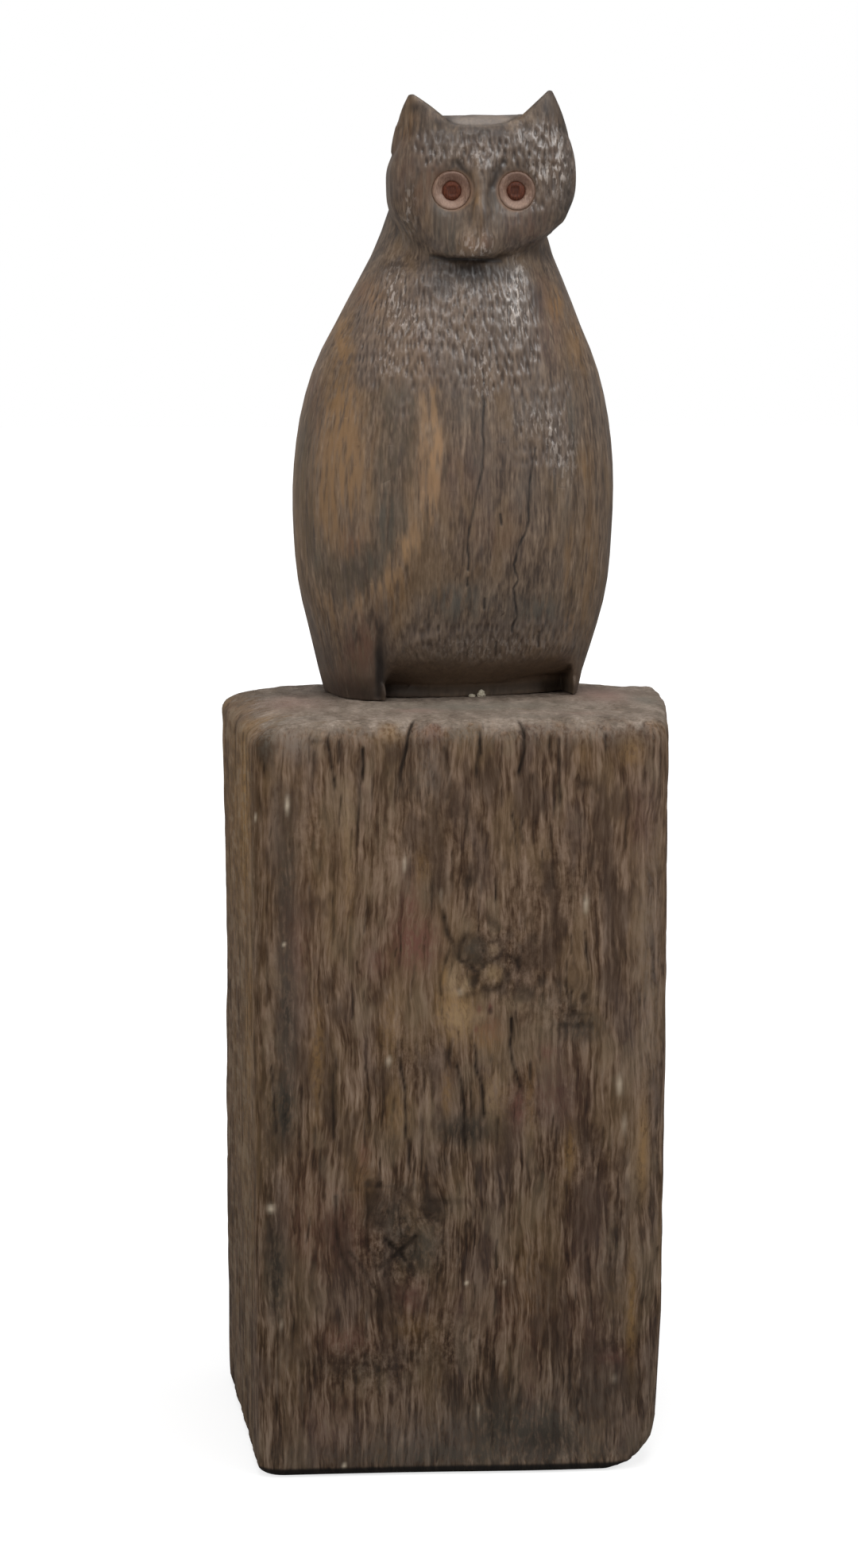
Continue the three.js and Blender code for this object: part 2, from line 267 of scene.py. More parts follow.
FRONT_CHECKS = [
    # the knot that has split crosswise
    (1.3, 1.0, [(-45, 106.5), (-35.5, 115)]), (1.2, 1.0, [(-42.5, 121.5), (-35.5, 115)]),
    (1.3, 1.0, [(-35.5, 115), (-27, 123)]), (1.3, 1.0, [(-35.5, 115), (-30, 108), (-27.5, 103)]),
    (1.1, 1.9, [(-40, 118.5), (-35.5, 115), (-32, 110.5)]), (1.0, 1.6, [(-39, 112), (-32, 118.5)]),
    # the rings round it
    (1.2, 0.7, [(-67, 144), (-67, 131.5), (-66.5, 119), (-62.5, 111), (-56.5, 98.5)]),
    (1.2, 0.7, [(-60, 115), (-54.5, 108), (-50, 99), (-45, 93), (-43.5, 86.5)]),
    (1.1, 0.6, [(-52, 147.5), (-51.5, 135), (-51.5, 119), (-47.5, 112.5)]),
    (0.8, 0.5, [(-60, 147.5), (-53.5, 148), (-38, 148.5), (-32, 143)]),
    (1.5, 0.5, [(-19.5, 141), (-12.5, 140.5), (1, 140), (2, 133), (-0.5, 127.5)]),
    (0.9, 0.7, [(-26.5, 131.5), (-19.5, 133), (-14.5, 129.5)]), (0.6, 0.9, [(-30, 163), (-30, 156)]),
    (0.6, 0.6, [(-24, 111), (-23, 104)]), (0.6, 0.6, [(-14.5, 110), (-14.5, 103.5)]),
    (0.7, 0.6, [(-40.5, 96), (-39, 84)]), (0.6, 0.5, [(-34, 88), (-34, 82)]),
    # the burr
    (1.5, 0.85, [(-14, 287), (-11.5, 276), (-8, 270), (-7, 264), (-1.5, 260), (3.5, 256)]),
    (1.0, 0.6, [(-10.5, 267), (-12.5, 261), (-14.5, 255), (-14.5, 245)]),
    (1.9, 0.7, [(-5.5, 264), (-5, 270), (-1, 274.5), (5, 274), (8, 269), (5.5, 262)]),
    (1.3, 0.5, [(8.5, 271), (13.5, 272), (16.5, 268), (15, 263)]),
    (1.4, 0.5, [(1, 258), (3, 253), (2, 246)]),
    (1.3, 0.5, [(6, 259), (8.5, 262.5), (13.5, 261.5), (17, 257), (17, 251), (13, 247), (7, 248)]),
    (0.9, 0.9, [(19.5, 264), (23, 261.5), (24.5, 258)]), (0.8, 0.7, [(24.5, 270), (26, 266.5)]),
    (0.7, 0.8, [(12.5, 303), (12.5, 291)]), (0.8, 0.6, [(-1.5, 304), (-1.5, 290)]),
    (0.9, 0.9, [(48, 233.5), (61, 233.5)]), (0.9, 0.9, [(45, 228.5), (61.5, 228.5)]),
    (0.7, 0.6, [(50, 236), (54, 235)]), (0.6, 0.8, [(48, 253), (48, 245)]),
    # from the top edge down
    (1.0, 1.2, [(-29.5, 380.5), (-31.5, 369), (-32.5, 364), (-35, 350.5)]),
    (1.0, 1.1, [(5, 376), (5, 365.5)]), (0.9, 0.8, [(4, 365.5), (2.5, 354.5)]),
    (1.0, 1.1, [(26.5, 380), (26.5, 366), (23.5, 354.5)]), (0.8, 0.8, [(39, 374), (38.5, 367)]),
    (0.8, 0.9, [(43.5, 372), (44, 356), (44, 340)]), (1.2, 0.6, [(-13, 368), (-10, 350), (-12, 342)]),
    (1.0, 1.1, [(-53, 368), (-53, 353.5)]), (0.9, 0.9, [(-70, 372), (-69, 366), (-66.5, 350)]),
    (0.8, 0.7, [(-64.5, 372), (-64.5, 362)]), (0.8, 0.7, [(-55, 347), (-55, 322)]),
    (1.2, 0.6, [(-78, 372), (-71, 372)]), (0.9, 0.6, [(53, 354.5), (55, 350.5), (60, 350), (63, 346)]),
    (0.8, 0.8, [(20.5, 334), (22, 328), (20, 321)]), (0.8, 0.8, [(26, 333), (24, 327), (26.5, 321)]),
    (0.9, 0.6, [(67.5, 374), (67.5, 368)]), (0.9, 0.7, [(-1, 343), (-1.5, 325)]),
    # the middle
    (0.8, 0.8, [(57, 275), (59, 257)]), (0.8, 0.6, [(71, 277), (73, 259)]),
    (1.0, 1.1, [(20.5, 233), (20.5, 214.5), (22.5, 207.5), (25.5, 197.5)]),
    (1.1, 0.8, [(-10.5, 216.5), (-10.5, 211)]), (1.0, 1.2, [(-6.5, 211), (-4.5, 201.5), (-3, 189.5)]),
    (1.0, 1.2, [(-3, 190), (-3, 174), (-2, 167)]), (0.8, 0.6, [(-36, 223), (-36, 210)]),
    (0.9, 0.9, [(2.5, 220.5), (3, 208.5)]), (1.0, 1.2, [(3, 208.5), (5.5, 200.5), (6.5, 194), (7, 182.5)]),
    (0.9, 1.1, [(-34.5, 212), (-33.5, 203), (-32.5, 197), (-32, 186), (-32, 174)]),
    (1.0, 1.0, [(-30.5, 171), (-30, 158)]), (0.8, 0.7, [(-38, 194), (-38, 187)]),
    (1.0, 0.5, [(-50.5, 192), (-50.5, 181)]), (0.9, 0.8, [(30, 209.5), (30, 201)]),
    (0.8, 0.6, [(-24.5, 184), (-24.5, 178)]), (0.8, 0.8, [(-68.5, 206), (-68, 173)]),
    (0.8, 0.9, [(-98.5, 209), (-96.5, 177)]), (0.8, 0.6, [(-85, 60), (-84, 22)]),
    (0.8, 0.5, [(-58, 55), (-57, 30)]), (0.8, 0.7, [(10, 42), (12, 12)]),
    (0.8, 0.6, [(22, 50), (20, 18)]), (0.8, 0.5, [(-20, 70), (-19, 52)]),
    (0.8, 0.5, [(60, 110), (62, 78)]), (0.8, 0.5, [(40, 330), (41, 300)]),
    (0.9, 0.5, [(-100, 316), (-101, 240)]), (0.9, 0.6, [(-96, 66), (-97, 30)]),
    (0.9, 0.7, [(-99, 128), (-99.5, 112), (-98, 84)]),
]
for number, (width, depth, line) in enumerate(FRONT_CHECKS):
    open_check(line, width, depth, number)

chance = np.random.default_rng(8)
for number in range(1300):
    place = chance.uniform(column_girth[0], column_girth[-1])
    height = chance.uniform(12, 378)
    on_front = abs(place) < 108
    if height > 300 and on_front:
        height = chance.uniform(300, 380)
    length = chance.uniform(4, 17) * (1 if on_front else 2.4)
    width = chance.uniform(0.42, 0.62) * (1 if on_front else 2.8)
    depth = chance.uniform(0.15, 0.75)
    lean = chance.normal(0, 0.7)
    open_check([(place, height), (place + lean, max(4, height - length))], width, depth, number)

# Pin knots, the knots of the burr and the dark heart of the split one: girth place, height,
# radius, depth.
knot_dark = np.zeros((rows, columns))
for place, height, radius, depth in [
    (1.5, 267.5, 6.5, 0.4), (2, 252, 2.6, 0.8), (24, 261.5, 2.0, 0.9), (8.5, 246.5, 3.4, 0.5),
    (15.5, 246.5, 3.0, 0.6), (10, 236.5, 1.3, 0.8),
    (19, 252.5, 2.4, 0.6), (27.5, 245, 4.8, 0.5), (36, 251.5, 2.8, 0.8), (44, 250, 2.4, 0.8),
    (56.5, 242.5, 2.0, 0.7), (52, 235, 2.6, 0.6), (11.5, 280.5, 3.0, 0.6), (-1, 301.5, 3.0, 0.6),
    (32, 272.5, 2.2, 0.5), (20, 275, 2.2, 0.5), (39.5, 299, 3.0, 0.5), (-51, 150.5, 2.2, 1.0),
    (-45.5, 149, 1.7, 1.0), (-18.5, 138.5, 6.2, 0.4), (-15.5, 132.5, 4.2, 0.4), (-32, 118, 6.0, 0.25),
    (-47, 141, 5.5, 0.3), (-45.5, 131, 5.0, 0.3), (-5.5, 110, 1.8, 0.4), (-0.5, 127.5, 2.2, 0.5),
    (-34, 86, 2.0, 0.4), (-61.5, 61.5, 1.8, 0.6), (-56, 56, 1.6, 0.6), (-52, 61, 1.6, 0.6),
    (-47.5, 54, 1.8, 0.6), (-54, 50, 1.5, 0.5), (-43, 60, 1.3, 0.5),
]:
    near = np.abs(column_girth - place) < 4 * radius
    far = np.hypot(side_girth[:, near] - place, (side_height[:, near] - height) * 0.85) / radius
    wobble = layered(np.c_[side_girth[:, near].ravel() / 3.2, side_height[:, near].ravel() / 4], 77, 2)
    far = far + 0.34 * wobble.reshape(far.shape)
    dark = (1 - ease(far, 0.4, 1.3)) * min(1, depth + 0.15)
    knot_dark[:, near] = np.maximum(knot_dark[:, near], dark)
    relief[:, near] -= depth * (0.7 * np.exp(-(far**2)) - 0.4 * np.exp(-(((far - 1.5) / 0.4) ** 2)))

side_relief = relief - check_depth
mesh = bpy.data.meshes.new("weathered_block")
faces = [tuple(map(int, face)) for face in block_faces]
faces += [tuple(map(int, face)) for face in foot_fan + top_fan]
mesh.from_pydata((block_points * MM).tolist(), [], faces)
block = bpy.data.objects.new("weathered_block", mesh)
bpy.context.scene.collection.objects.link(block)


def vertex_normals(piece):
    """Outward normals of the corners of a piece's mesh."""
    normals = np.zeros(len(piece.data.vertices) * 3, np.float32)
    piece.data.vertex_normals.foreach_get("vector", normals)
    return normals.reshape(-1, 3).astype(float)


def places(piece):
    """Corners of a piece's mesh in mm."""
    points = np.zeros(len(piece.data.vertices) * 3, np.float32)
    piece.data.vertices.foreach_get("co", points)
    return points.reshape(-1, 3).astype(float) / MM


def move_to(piece, points):
    piece.data.vertices.foreach_set("co", (points * MM).astype(np.float32).ravel())
    piece.data.update()


def keep_values(piece, name, values):
    """Stores one number for each corner, which the piece's finish reads by that name."""
    attribute = piece.data.attributes.new(name, "FLOAT", "POINT")
    attribute.data.foreach_set("value", np.asarray(values, np.float32).ravel())


def over_block(values, rest=0.0):
    """Spreads values of the side surface over all corners of the block, caps included."""
    all_values = np.full(len(block_points), rest, float)
    first = len(foot_shares) * columns
    all_values[first : first + rows * columns] = np.asarray(values).ravel()
    return all_values


at = places(block)
normals = vertex_normals(block)
heave = over_block(side_relief)
first_top = (len(foot_shares) + rows) * columns
cap = slice(first_top, len(block_points))
cap_points = at[cap][:, :2]
saw = layered(np.c_[cap_points[:, 0] / 26, cap_points[:, 1] / 3.2], 51) * 0.16
pits = layered(cap_points / 4.2, 61, 2)
heave[cap] = saw + layered(cap_points / 30, 57) * 0.40 - ease(pits, 0.3, 0.95) * 0.6
heave[-2] = 0
fade_foot = ease(at[:, 2], 0.5, 5)
at = at + normals * (heave * fade_foot)[:, None]

# Corners and edges that are a little fuller or more worn than the solid: the middle of the place,
# its reach, and the push, each along x, y and z.
CORNER_WEAR = [
    ((104, -76, 4), (18, 34, 20), (4.5, -1.5, 0)), ((44, -104, 0), (64, 14, 9), (0, -3.5, 0)),
    ((108, -5, 375), (12, 55, 12), (3, 0, 0)), ((98, 88, 381), (18, 24, 14), (0, 0, -1.8)),
    ((-112, 92, 375), (14, 26, 10), (-3, 0, 1)), ((-112, 96, 345), (14, 40, 22), (-0.8, 0, 0)),
    ((-112, 96, 245), (14, 40, 55), (0.9, 0, 0)), ((-112, 96, 105), (14, 40, 60), (-0.9, 0, 0)),
    ((106, -96, 255), (14, 30, 80), (0.8, 0, 0)),
]
for middle, reach, push in CORNER_WEAR:
    near = np.exp(-(((at - middle) / reach) ** 2).sum(axis=1))
    at = at + near[:, None] * push
move_to(block, at)

# Stains, ochre streaks and scars of the front, with painted shade in the dark marks down the
# left front corner: girth place, height, half width, half height, strength.
BLOCK_MARKS = {
    "ochre": [
        (-6.5, 236, 8, 13, 1.2), (-13, 254, 2.2, 7, 0.8), (-15.5, 240, 2, 10, 0.8), (8, 224, 8, 9, 0.6),
        (12, 256, 3.4, 3.4, 0.8), (87, 167, 2.8, 24, 1.3), (82, 84, 2.4, 28, 1.1), (98, 120, 2, 60, 0.4),
        (-152, 330, 36, 60, 1.1), (-190, 322, 90, 70, 0.5), (-190, 150, 90, 120, 0.3),
        (-76, 215, 3.5, 30, 0.6), (-53, 150, 6, 18, 0.4), (80, 366, 7, 8, 0.7), (-140, 230, 24, 60, 0.7),
        (-60, 300, 3, 30, 0.3), (-40, 376.5, 7, 5, 0.9), (-24, 300, 4, 18, 0.5), (-40, 230, 6, 18, 0.4),
        (30, 100, 10, 30, 0.25), (-30, 77, 12, 8, 0.3), (56, 366, 5, 10, 0.3), (30, 190, 3, 20, 0.4),
        (-36, 186, 8, 14, 0.4), (12, 190, 9, 20, 0.35), (-126, 140, 12, 60, 0.35), (98, 300, 3, 60, 0.3),
        (-11.5, 194, 3, 13, 0.6), (50, 165, 3.5, 14, 0.7),
    ],
    "rust": [
        (-28, 272, 11, 14, 1.25), (-29, 290, 5, 12, 0.8), (-45, 262, 8, 8, 0.5), (24, 187, 4, 10, 1.0),
        (72, 58.5, 9, 3.5, 1.0), (-62, 128, 14, 22, 0.5), (4.5, 238, 1.1, 2.6, 1.2),
        (10, 238, 1.3, 3.0, 1.4), (3, 227.5, 1.4, 2, 1.0), (10, 228, 6, 7, 0.6), (-88, 268, 7, 34, 0.6),
        (-80, 130, 14, 26, 0.4), (-62, 70, 14, 8, 0.7), (-29, 92, 7, 8, 0.7), (38.5, 215, 5, 4, 0.8),
        (45, 195, 12, 14, 0.6), (62, 90, 14, 60, 0.3), (30, 50, 6, 30, 0.4), (84, 330, 8, 20, 0.4),
        (-70, 24, 18, 18, 0.4), (10, 84, 30, 14, 0.25), (-53, 165, 3, 8, 0.7), (-18.5, 377, 6, 5, 0.8),
    ],
    "slate": [
        (-91, 245, 6, 50, 1.0), (-92, 190, 6, 18, 1.3), (55, 228, 14, 8, 0.8), (-2, 178, 16, 8, 0.9),
        (28, 22, 34, 18, 1.2), (-24, 118, 10, 10, 1.0), (70, 100, 12, 34, 0.5), (-100, 372, 4, 10, 1.0),
        (60, 40, 24, 18, 0.6), (-32, 350, 16, 10, 0.3), (-90, 300, 6, 34, 0.8), (-97, 105, 6, 28, 0.9),
        (1.5, 267.5, 5.5, 6, 1.2), (0, 10, 95, 7, 0.9), (-4, 376.5, 9, 5, 0.9), (-22, 296, 5, 10, 0.7),
        (-70, 380, 24, 5, 0.5), (-36, 130, 8, 10, 0.8), (45, 242, 20, 8, 0.4),
    ],
    "soot": [
        (-1, 245, 4, 2, 0.5), (-68, 188, 4, 18, 0.5), (-2, 176, 14, 7, 0.9),
        (-18, 138, 9, 5, 0.9), (-47, 136, 7, 11, 0.9), (-34, 124, 8, 9, 0.6), (-62, 122, 3, 22, 0.5),
        (27, 245, 5, 4, 0.6), (50, 196, 9, 10, 0.5), (-85, 90, 4, 20, 0.4),
        (-52, 57, 12, 6, 0.7), (-42, 112, 8, 8, 0.5), (-26, 113, 7, 9, 0.5), (-35, 104, 10, 5, 0.4),
        (-36, 128, 14, 18, 0.4), (-39, 137, 10, 9, 0.55), (9, 261, 12, 10, 0.35),
        (53, 229, 9, 2.4, 0.5), (-104.5, 372, 3.2, 9, 1.0), (12, 26, 14, 18, 0.6),
        (-92, 187, 3, 14, 1.2), (-92, 290, 5, 40, 0.55), (-108, 290, 6, 90, 0.6),
        (-100, 165, 6, 70, 0.6), (-97, 108, 4, 26, 0.9), (-91, 236, 4, 24, 0.7),
        (-15, 160, 8, 6, 0.6), (-70, 60, 16, 5, 0.5), (-20, 60, 34, 5, 0.35), (60, 60, 14, 5, 0.5),
        (-30, 148, 12, 3, 0.5), (72, 120, 5, 18, 0.35), (26, 150, 12, 10, 0.3), (40, 16, 18, 8, 0.8),
    ],
    "pale": [
        (11.5, 255.5, 4.5, 4.5, 0.9), (-2, 249.5, 3.2, 4, 1.0), (12, 267.5, 3, 3, 0.6),
        (-8.5, 252, 3.5, 9, 0.9), (-6, 234, 8, 9, 0.8), (5, 234, 3, 3, 0.8), (22, 240, 9, 5, 0.5),
        (-26, 272, 3, 16, 0.4), (82, 150, 3, 20, 0.4), (-60, 330, 3, 26, 0.35), (-20, 180, 4, 22, 0.3),
        (10.5, 188, 5, 16, 0.5),
    ],
    "grey": [
        (-86, 372, 10, 9, 1.0), (-20, 358, 6, 14, 0.5), (60, 377, 15, 5, 0.8), (36, 378, 12, 4, 0.5),
        (-50, 377, 14, 4, 0.5), (-96, 340, 3, 30, 0.4), (12, 378, 10, 5, 0.6), (90, 250, 9, 120, 0.45),
        (0, 18, 80, 14, 0.55),
    ],
    "chalk": [
        (-90, 341, 1.0, 3.4, 1.0), (-107.5, 333.5, 0.9, 1.3, 0.9), (57.5, 289.5, 1.2, 3.6, 0.8),
        (-99.5, 138.5, 1.8, 1.8, 0.8), (-63.5, 5.5, 1, 1.2, 0.9), (-1.5, 98.5, 0.9, 1.0, 1.0),
        (-94.5, 78, 0.8, 1.3, 0.8), (4.5, 31.5, 0.8, 1.6, 0.8), (-40.5, 212, 1.4, 2.2, 0.6),
        (17.5, 98, 0.8, 0.8, 0.6), (73.5, 48.5, 1.5, 1, 0.9), (75, 198, 1.4, 4, 0.7),
        (-32.5, 311, 0.9, 3, 0.7), (-92, 271.5, 0.8, 0.9, 0.8), (-14.5, 295, 0.8, 1.5, 0.5),
        (-5, 246.5, 1.6, 1.8, 0.4), (77.5, 178, 1.2, 4, 0.4),
    ],
}
# Patches of the top: place across and along, half width, half length, strength. The large grey
# patch in front of the cat's belly is painted shadow.
TOP_MARKS = {
    "blush": [(82, 22, 15, 40, 1.0), (-84, -8, 16, 34, 0.7), (-22, -54, 12, 7, 0.9), (60, -70, 10, 8, 0.4)],
    "stone": [
        (99, -10, 7, 30, 1.0), (-108, -22, 8, 24, 0.8), (8, -34, 44, 18, 1.1), (-100, 40, 14, 20, 0.5),
        (30, -84, 16, 7, 0.5), (-90, -80, 12, 8, 0.6),
    ],
}


block_girth = over_block(side_girth, 1000.0)
on_top = ease(at[:, 2], BLOCK_TOP - 9, BLOCK_TOP - 3)
for kind, marks in TOP_MARKS.items():
    keep_values(block, kind, blot(at[:, 0], at[:, 1], marks) * on_top)
on_side = over_block(np.ones((rows, columns)))
for kind, marks in BLOCK_MARKS.items():
    keep_values(block, kind, blot(block_girth, at[:, 2], marks) * on_side)
keep_values(block, "check", np.clip(over_block(check_depth) / 0.9, 0, 1))
keep_values(block, "knot", over_block(knot_dark))
keep_values(block, "burl", over_block(burl))
keep_values(block, "sway", over_block(sway) * (np.abs(block_girth) < 110))
torn = 3.5 * layered(at / [4, 4, 9], 71, 2)
end_grain = ease(at[:, 2] + torn * (at[:, 2] > BLOCK_TOP - 16), BLOCK_TOP - 5.5, BLOCK_TOP - 0.8)
keep_values(block, "end_grain", np.maximum(end_grain, at[:, 2] > BLOCK_TOP - 0.4))

bpy.ops.object.select_all(action="DESELECT")
block.select_set(True)
bpy.context.view_layer.objects.active = block
bpy.ops.object.shade_smooth()


def paint(red, green, blue):
    """A colour given as it looks on a screen, 0 to 255, in the shader's own light values."""
    return tuple(
        (c / 255 / 12.92 if c < 10.3 else ((c / 255 + 0.055) / 1.055) ** 2.4)
        for c in (red, green, blue)
    )


class Socket:
    """An output of a finish's node; sums and products of sockets become its Math nodes."""

    def __init__(self, tree, output=None):
        self.tree = tree
        self.output = output

    def node(self, kind, settings=None, inputs=None, output=0):
        made = self.tree.nodes.new("ShaderNode" + kind)
        for name, value in (settings or {}).items():
            if name == "stops":
                stops = made.color_ramp.elements
                stops[0].position, stops[-1].position = value[0][0], value[-1][0]
                for position, _ in value[1:-1]:
                    stops.new(position)
                for stop, (_, colour) in zip(stops, value):
                    stop.color = (*colour, 1)
            else:
                setattr(made, name, value)
        for name, value in (inputs or {}).items():
            if isinstance(value, Socket):
                self.tree.links.new(value.output, made.inputs[name])
            elif isinstance(value, tuple) and made.inputs[name].type == "RGBA":
                made.inputs[name].default_value = (*value, 1)
            else:
                made.inputs[name].default_value = value
        return Socket(self.tree, made.outputs[output])

    def math(self, operation, *values):
        inputs = dict(enumerate(values))
        return self.node("Math", {"operation": operation}, inputs)

    def __add__(self, other):
        return self.math("ADD", self, other)

    def __sub__(self, other):
        return self.math("SUBTRACT", self, other)

    def __rsub__(self, other):
        return self.math("SUBTRACT", other, self)

    def __mul__(self, other):
        return self.math("MULTIPLY", self, other)

    __radd__ = __add__
    __rmul__ = __mul__

    def between(self, low, high):
        """Rises smoothly from 0 to 1 between two values."""
        limits = {"Value": self, "From Min": low, "From Max": high}
        return self.node("MapRange", {"interpolation_type": "SMOOTHSTEP"}, limits)

    def noise(self, scale, detail=3.0, roughness=0.55):
        inputs = {"Vector": self, "Scale": scale, "Detail": detail, "Roughness": roughness}
        return self.node("TexNoise", {}, inputs)

    def under(self, factor, colour):
        """This colour with another laid over it by a factor."""
        inputs = {0: factor, 6: self, 7: colour}
        return self.node("Mix", {"data_type": "RGBA"}, inputs, 2)

    def times(self, factor):
        """This colour made lighter or darker."""
        grey = self.node("CombineColor", {}, {0: factor, 1: factor, 2: factor})
        inputs = {0: 1.0, 6: self, 7: grey}
        return self.node("Mix", {"data_type": "RGBA", "blend_type": "MULTIPLY"}, inputs, 2)


def new_finish(name):
    """An empty material, its surface shader, and a socket to start its nodes from."""
    material = bpy.data.materials.new(name)
    material.use_nodes = True
    tree = material.node_tree
    return material, tree.nodes["Principled BSDF"], Socket(tree)


def in_millimetres(start):
    place = start.node("TexCoord", {}, {}, "Object")
    place = start.node("VectorMath", {"operation": "SCALE"}, {0: place, "Scale": 1000.0})
    split = [start.node("SeparateXYZ", {}, {0: place}, axis) for axis in range(3)]
    return split


def stretched(start, x, y, z):
    return start.node("CombineXYZ", {}, {0: x, 1: y, 2: z})


def stored(start, name):
    return start.node("Attribute", {"attribute_name": name}, {}, "Fac")


def wire(start, shader, values):
    for name, value in values.items():
        if isinstance(value, Socket):
            start.tree.links.new(value.output, shader.inputs[name])
        else:
            shader.inputs[name].default_value = value


baulk, shader, start = new_finish("weathered_baulk")
x, y, z = in_millimetres(start)
warp = stretched(start, x, y, z * 0.35).noise(0.045, 2.0, 0.5)
waver = stretched(start, x, y, z * 0.5).noise(0.20, 2.0, 0.5)
across = x + stored(start, "sway") + warp * 10.0 + waver * 2.2
streaks = stretched(start, across, y, z * 0.07).noise(0.34, 3.0, 0.55)
fibres = stretched(start, across, y, z * 0.11).noise(1.2, 2.0, 0.5)
flecks = stretched(start, across, y, z * 0.11).noise(0.62, 2.0, 0.55)
mottle = stretched(start, across, y * 0.3, z * 0.4).noise(0.15, 3.0, 0.6)
saw_marks = stretched(start, x * 0.3, y * 0.15, z * 0.5).noise(0.28, 3.0, 0.6)
drift = stretched(start, x, y, z * 0.35).noise(0.040, 3.0, 0.6)
shade = stretched(start, x + 300.0, y, z * 0.45).noise(0.055, 3.0, 0.6)
speckle = stretched(start, across, y, z * 0.45).noise(0.55, 2.0, 0.6)
curls = stretched(start, x, y, z * 0.7).noise(0.30, 4.0, 0.7)
straight = streaks * 0.40 + fibres * 0.16 + flecks * 0.24 + mottle * 0.20
burl = stored(start, "burl")
grain_tone = straight + (curls - straight) * (burl * 0.65) - 0.5
behind_front = y.between(-98.0, -80.0)
grain_tone = grain_tone * (z.between(330.0, 60.0) * 0.45 + 0.92) * (1.0 - behind_front * 0.38) + 0.5
colour = start.node(
    "ValToRGB",
    {
        "stops": [
            (0.38, paint(38, 23, 12)),
            (0.45, paint(67, 48, 33)),
            (0.50, paint(95, 75, 58)),
            (0.55, paint(117, 96, 79)),
            (0.65, paint(143, 123, 105)),
        ]
    },
    {0: grain_tone},
)
colour = colour.under(drift.between(0.50, 0.64) * 0.40, paint(110, 89, 64))
colour = colour.under(drift.between(0.48, 0.36) * 0.40, paint(80, 66, 60))
colour = colour.under(shade.between(0.51, 0.64) * 0.60, paint(58, 43, 33))
colour = colour.under(shade.between(0.46, 0.34) * 0.35, paint(116, 100, 80))
ragged = speckle.between(0.35, 0.6) * 0.6 + 0.4
colour = colour.under(stored(start, "ochre") * ragged * 0.80, paint(138, 106, 64))
colour = colour.under(stored(start, "pale") * ragged * 0.80, paint(148, 126, 98))
colour = colour.under(stored(start, "rust") * ragged * 0.75, paint(102, 66, 56))
colour = colour.under(stored(start, "grey") * ragged * 0.75, paint(122, 109, 99))
colour = colour.under(stored(start, "slate") * ragged * 0.70, paint(70, 66, 58))
# Dark stains, and painted shade down the left front corner.
colour = colour.under(stored(start, "soot") * ragged * 0.85, paint(38, 31, 24))
left_side = x.between(-105.5, -109.5)
colour = colour.under(left_side * saw_marks.between(0.50, 0.62) * 0.36, paint(134, 118, 98))
colour = colour.under(left_side * saw_marks.between(0.49, 0.38) * 0.30, paint(60, 50, 40))
colour = colour.under(z.between(362.0, 381.0) * speckle.between(0.40, 0.58) * 0.42, paint(114, 103, 91))
ends = stretched(start, x * 0.35, y * 1.4, 0.0).noise(0.5, 4.0, 0.65)
grit = stretched(start, x, y, z).noise(0.38, 4.0, 0.7)
weathering = stretched(start, x, y * 0.3, 0.0).noise(0.09, 3.0, 0.6)
end_colour = start.node(
    "ValToRGB",
    {"stops": [(0.38, paint(76, 66, 56)), (0.5, paint(114, 102, 91)), (0.62, paint(150, 137, 125))]},
    {0: ends * 0.25 + grit * 0.35 + weathering * 0.40},
)
end_colour = end_colour.under(stored(start, "blush") * 0.7, paint(138, 112, 102))
# Grey weathered patches of the end grain, and a painted shadow in front of the cat.
end_colour = end_colour.under(stored(start, "stone") * 0.65, paint(102, 99, 90))
colour = colour.under(stored(start, "end_grain") * 0.88, end_colour)
# Painted shade: the block's colour darkens towards its foot, away from the overhead light.
colour = colour.times(1.0 - (z.between(330.0, 0.0) * 0.29))
colour = colour.under(stored(start, "knot") * 0.72, paint(48, 37, 28))
colour = colour.under(stored(start, "check") * 0.94, paint(26, 16, 8))
colour = colour.under(stored(start, "chalk"), paint(180, 166, 146))
# Painted shadow: a near-black band at the very foot, the contact shadow along the floor.
colour = colour.under(z.between(5.5, 3.6) * 0.92, paint(10, 8, 7))
roughness = 0.62 + streaks * 0.3
bump_height = streaks * 0.5 + fibres * 0.5
bump = start.node("Bump", {}, {"Strength": 0.7, "Distance": 0.001, "Height": bump_height})
wire(start, shader, {"Base Color": colour, "Roughness": roughness, "Normal": bump})
shader.inputs["Specular IOR Level"].default_value = 0.2
block.data.materials.append(baulk)
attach(block, "root")
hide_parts("timber_block")

# The cat: one piece of the same kind of timber, sawn and rasped to shape, textured on chest and
# face with a small gouge, then stained, waxed and worn smooth on its flanks.
def carved_copy(node, name, voxel, passes):
    """A finer copy of a solid, its faces evened out and its arrises slightly eased."""
    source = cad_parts[node]
    piece = bpy.data.objects.new(name, source.data.copy())
    bpy.context.scene.collection.objects.link(piece)
    piece.data.materials.clear()
    bpy.ops.object.select_all(action="DESELECT")
    piece.select_set(True)
    bpy.context.view_layer.objects.active = piece
    bpy.ops.object.mode_set(mode="EDIT")
    bpy.ops.mesh.select_all(action="SELECT")
    bpy.ops.mesh.remove_doubles(threshold=0.00001)
    bpy.ops.object.mode_set(mode="OBJECT")
    remesh = piece.modifiers.new("even", "REMESH")
    remesh.mode = "VOXEL"
    remesh.voxel_size = voxel * MM
    bpy.ops.object.modifier_apply(modifier=remesh.name)
    soften = piece.modifiers.new("soften", "SMOOTH")
    soften.factor = 0.5
    soften.iterations = passes
    bpy.ops.object.modifier_apply(modifier=soften.name)
    bpy.ops.object.shade_smooth()
    return piece


cat = carved_copy("cat_figure", "carved_cat", 0.74, 6)


def surveyed(piece):
    """Corners of a piece, its normals, their x, y and z, and how far each corner faces forward."""
    at, normals = places(piece), vertex_normals(piece)
    return at, normals, *at.T, np.clip(-normals[:, 1], 0, 1)


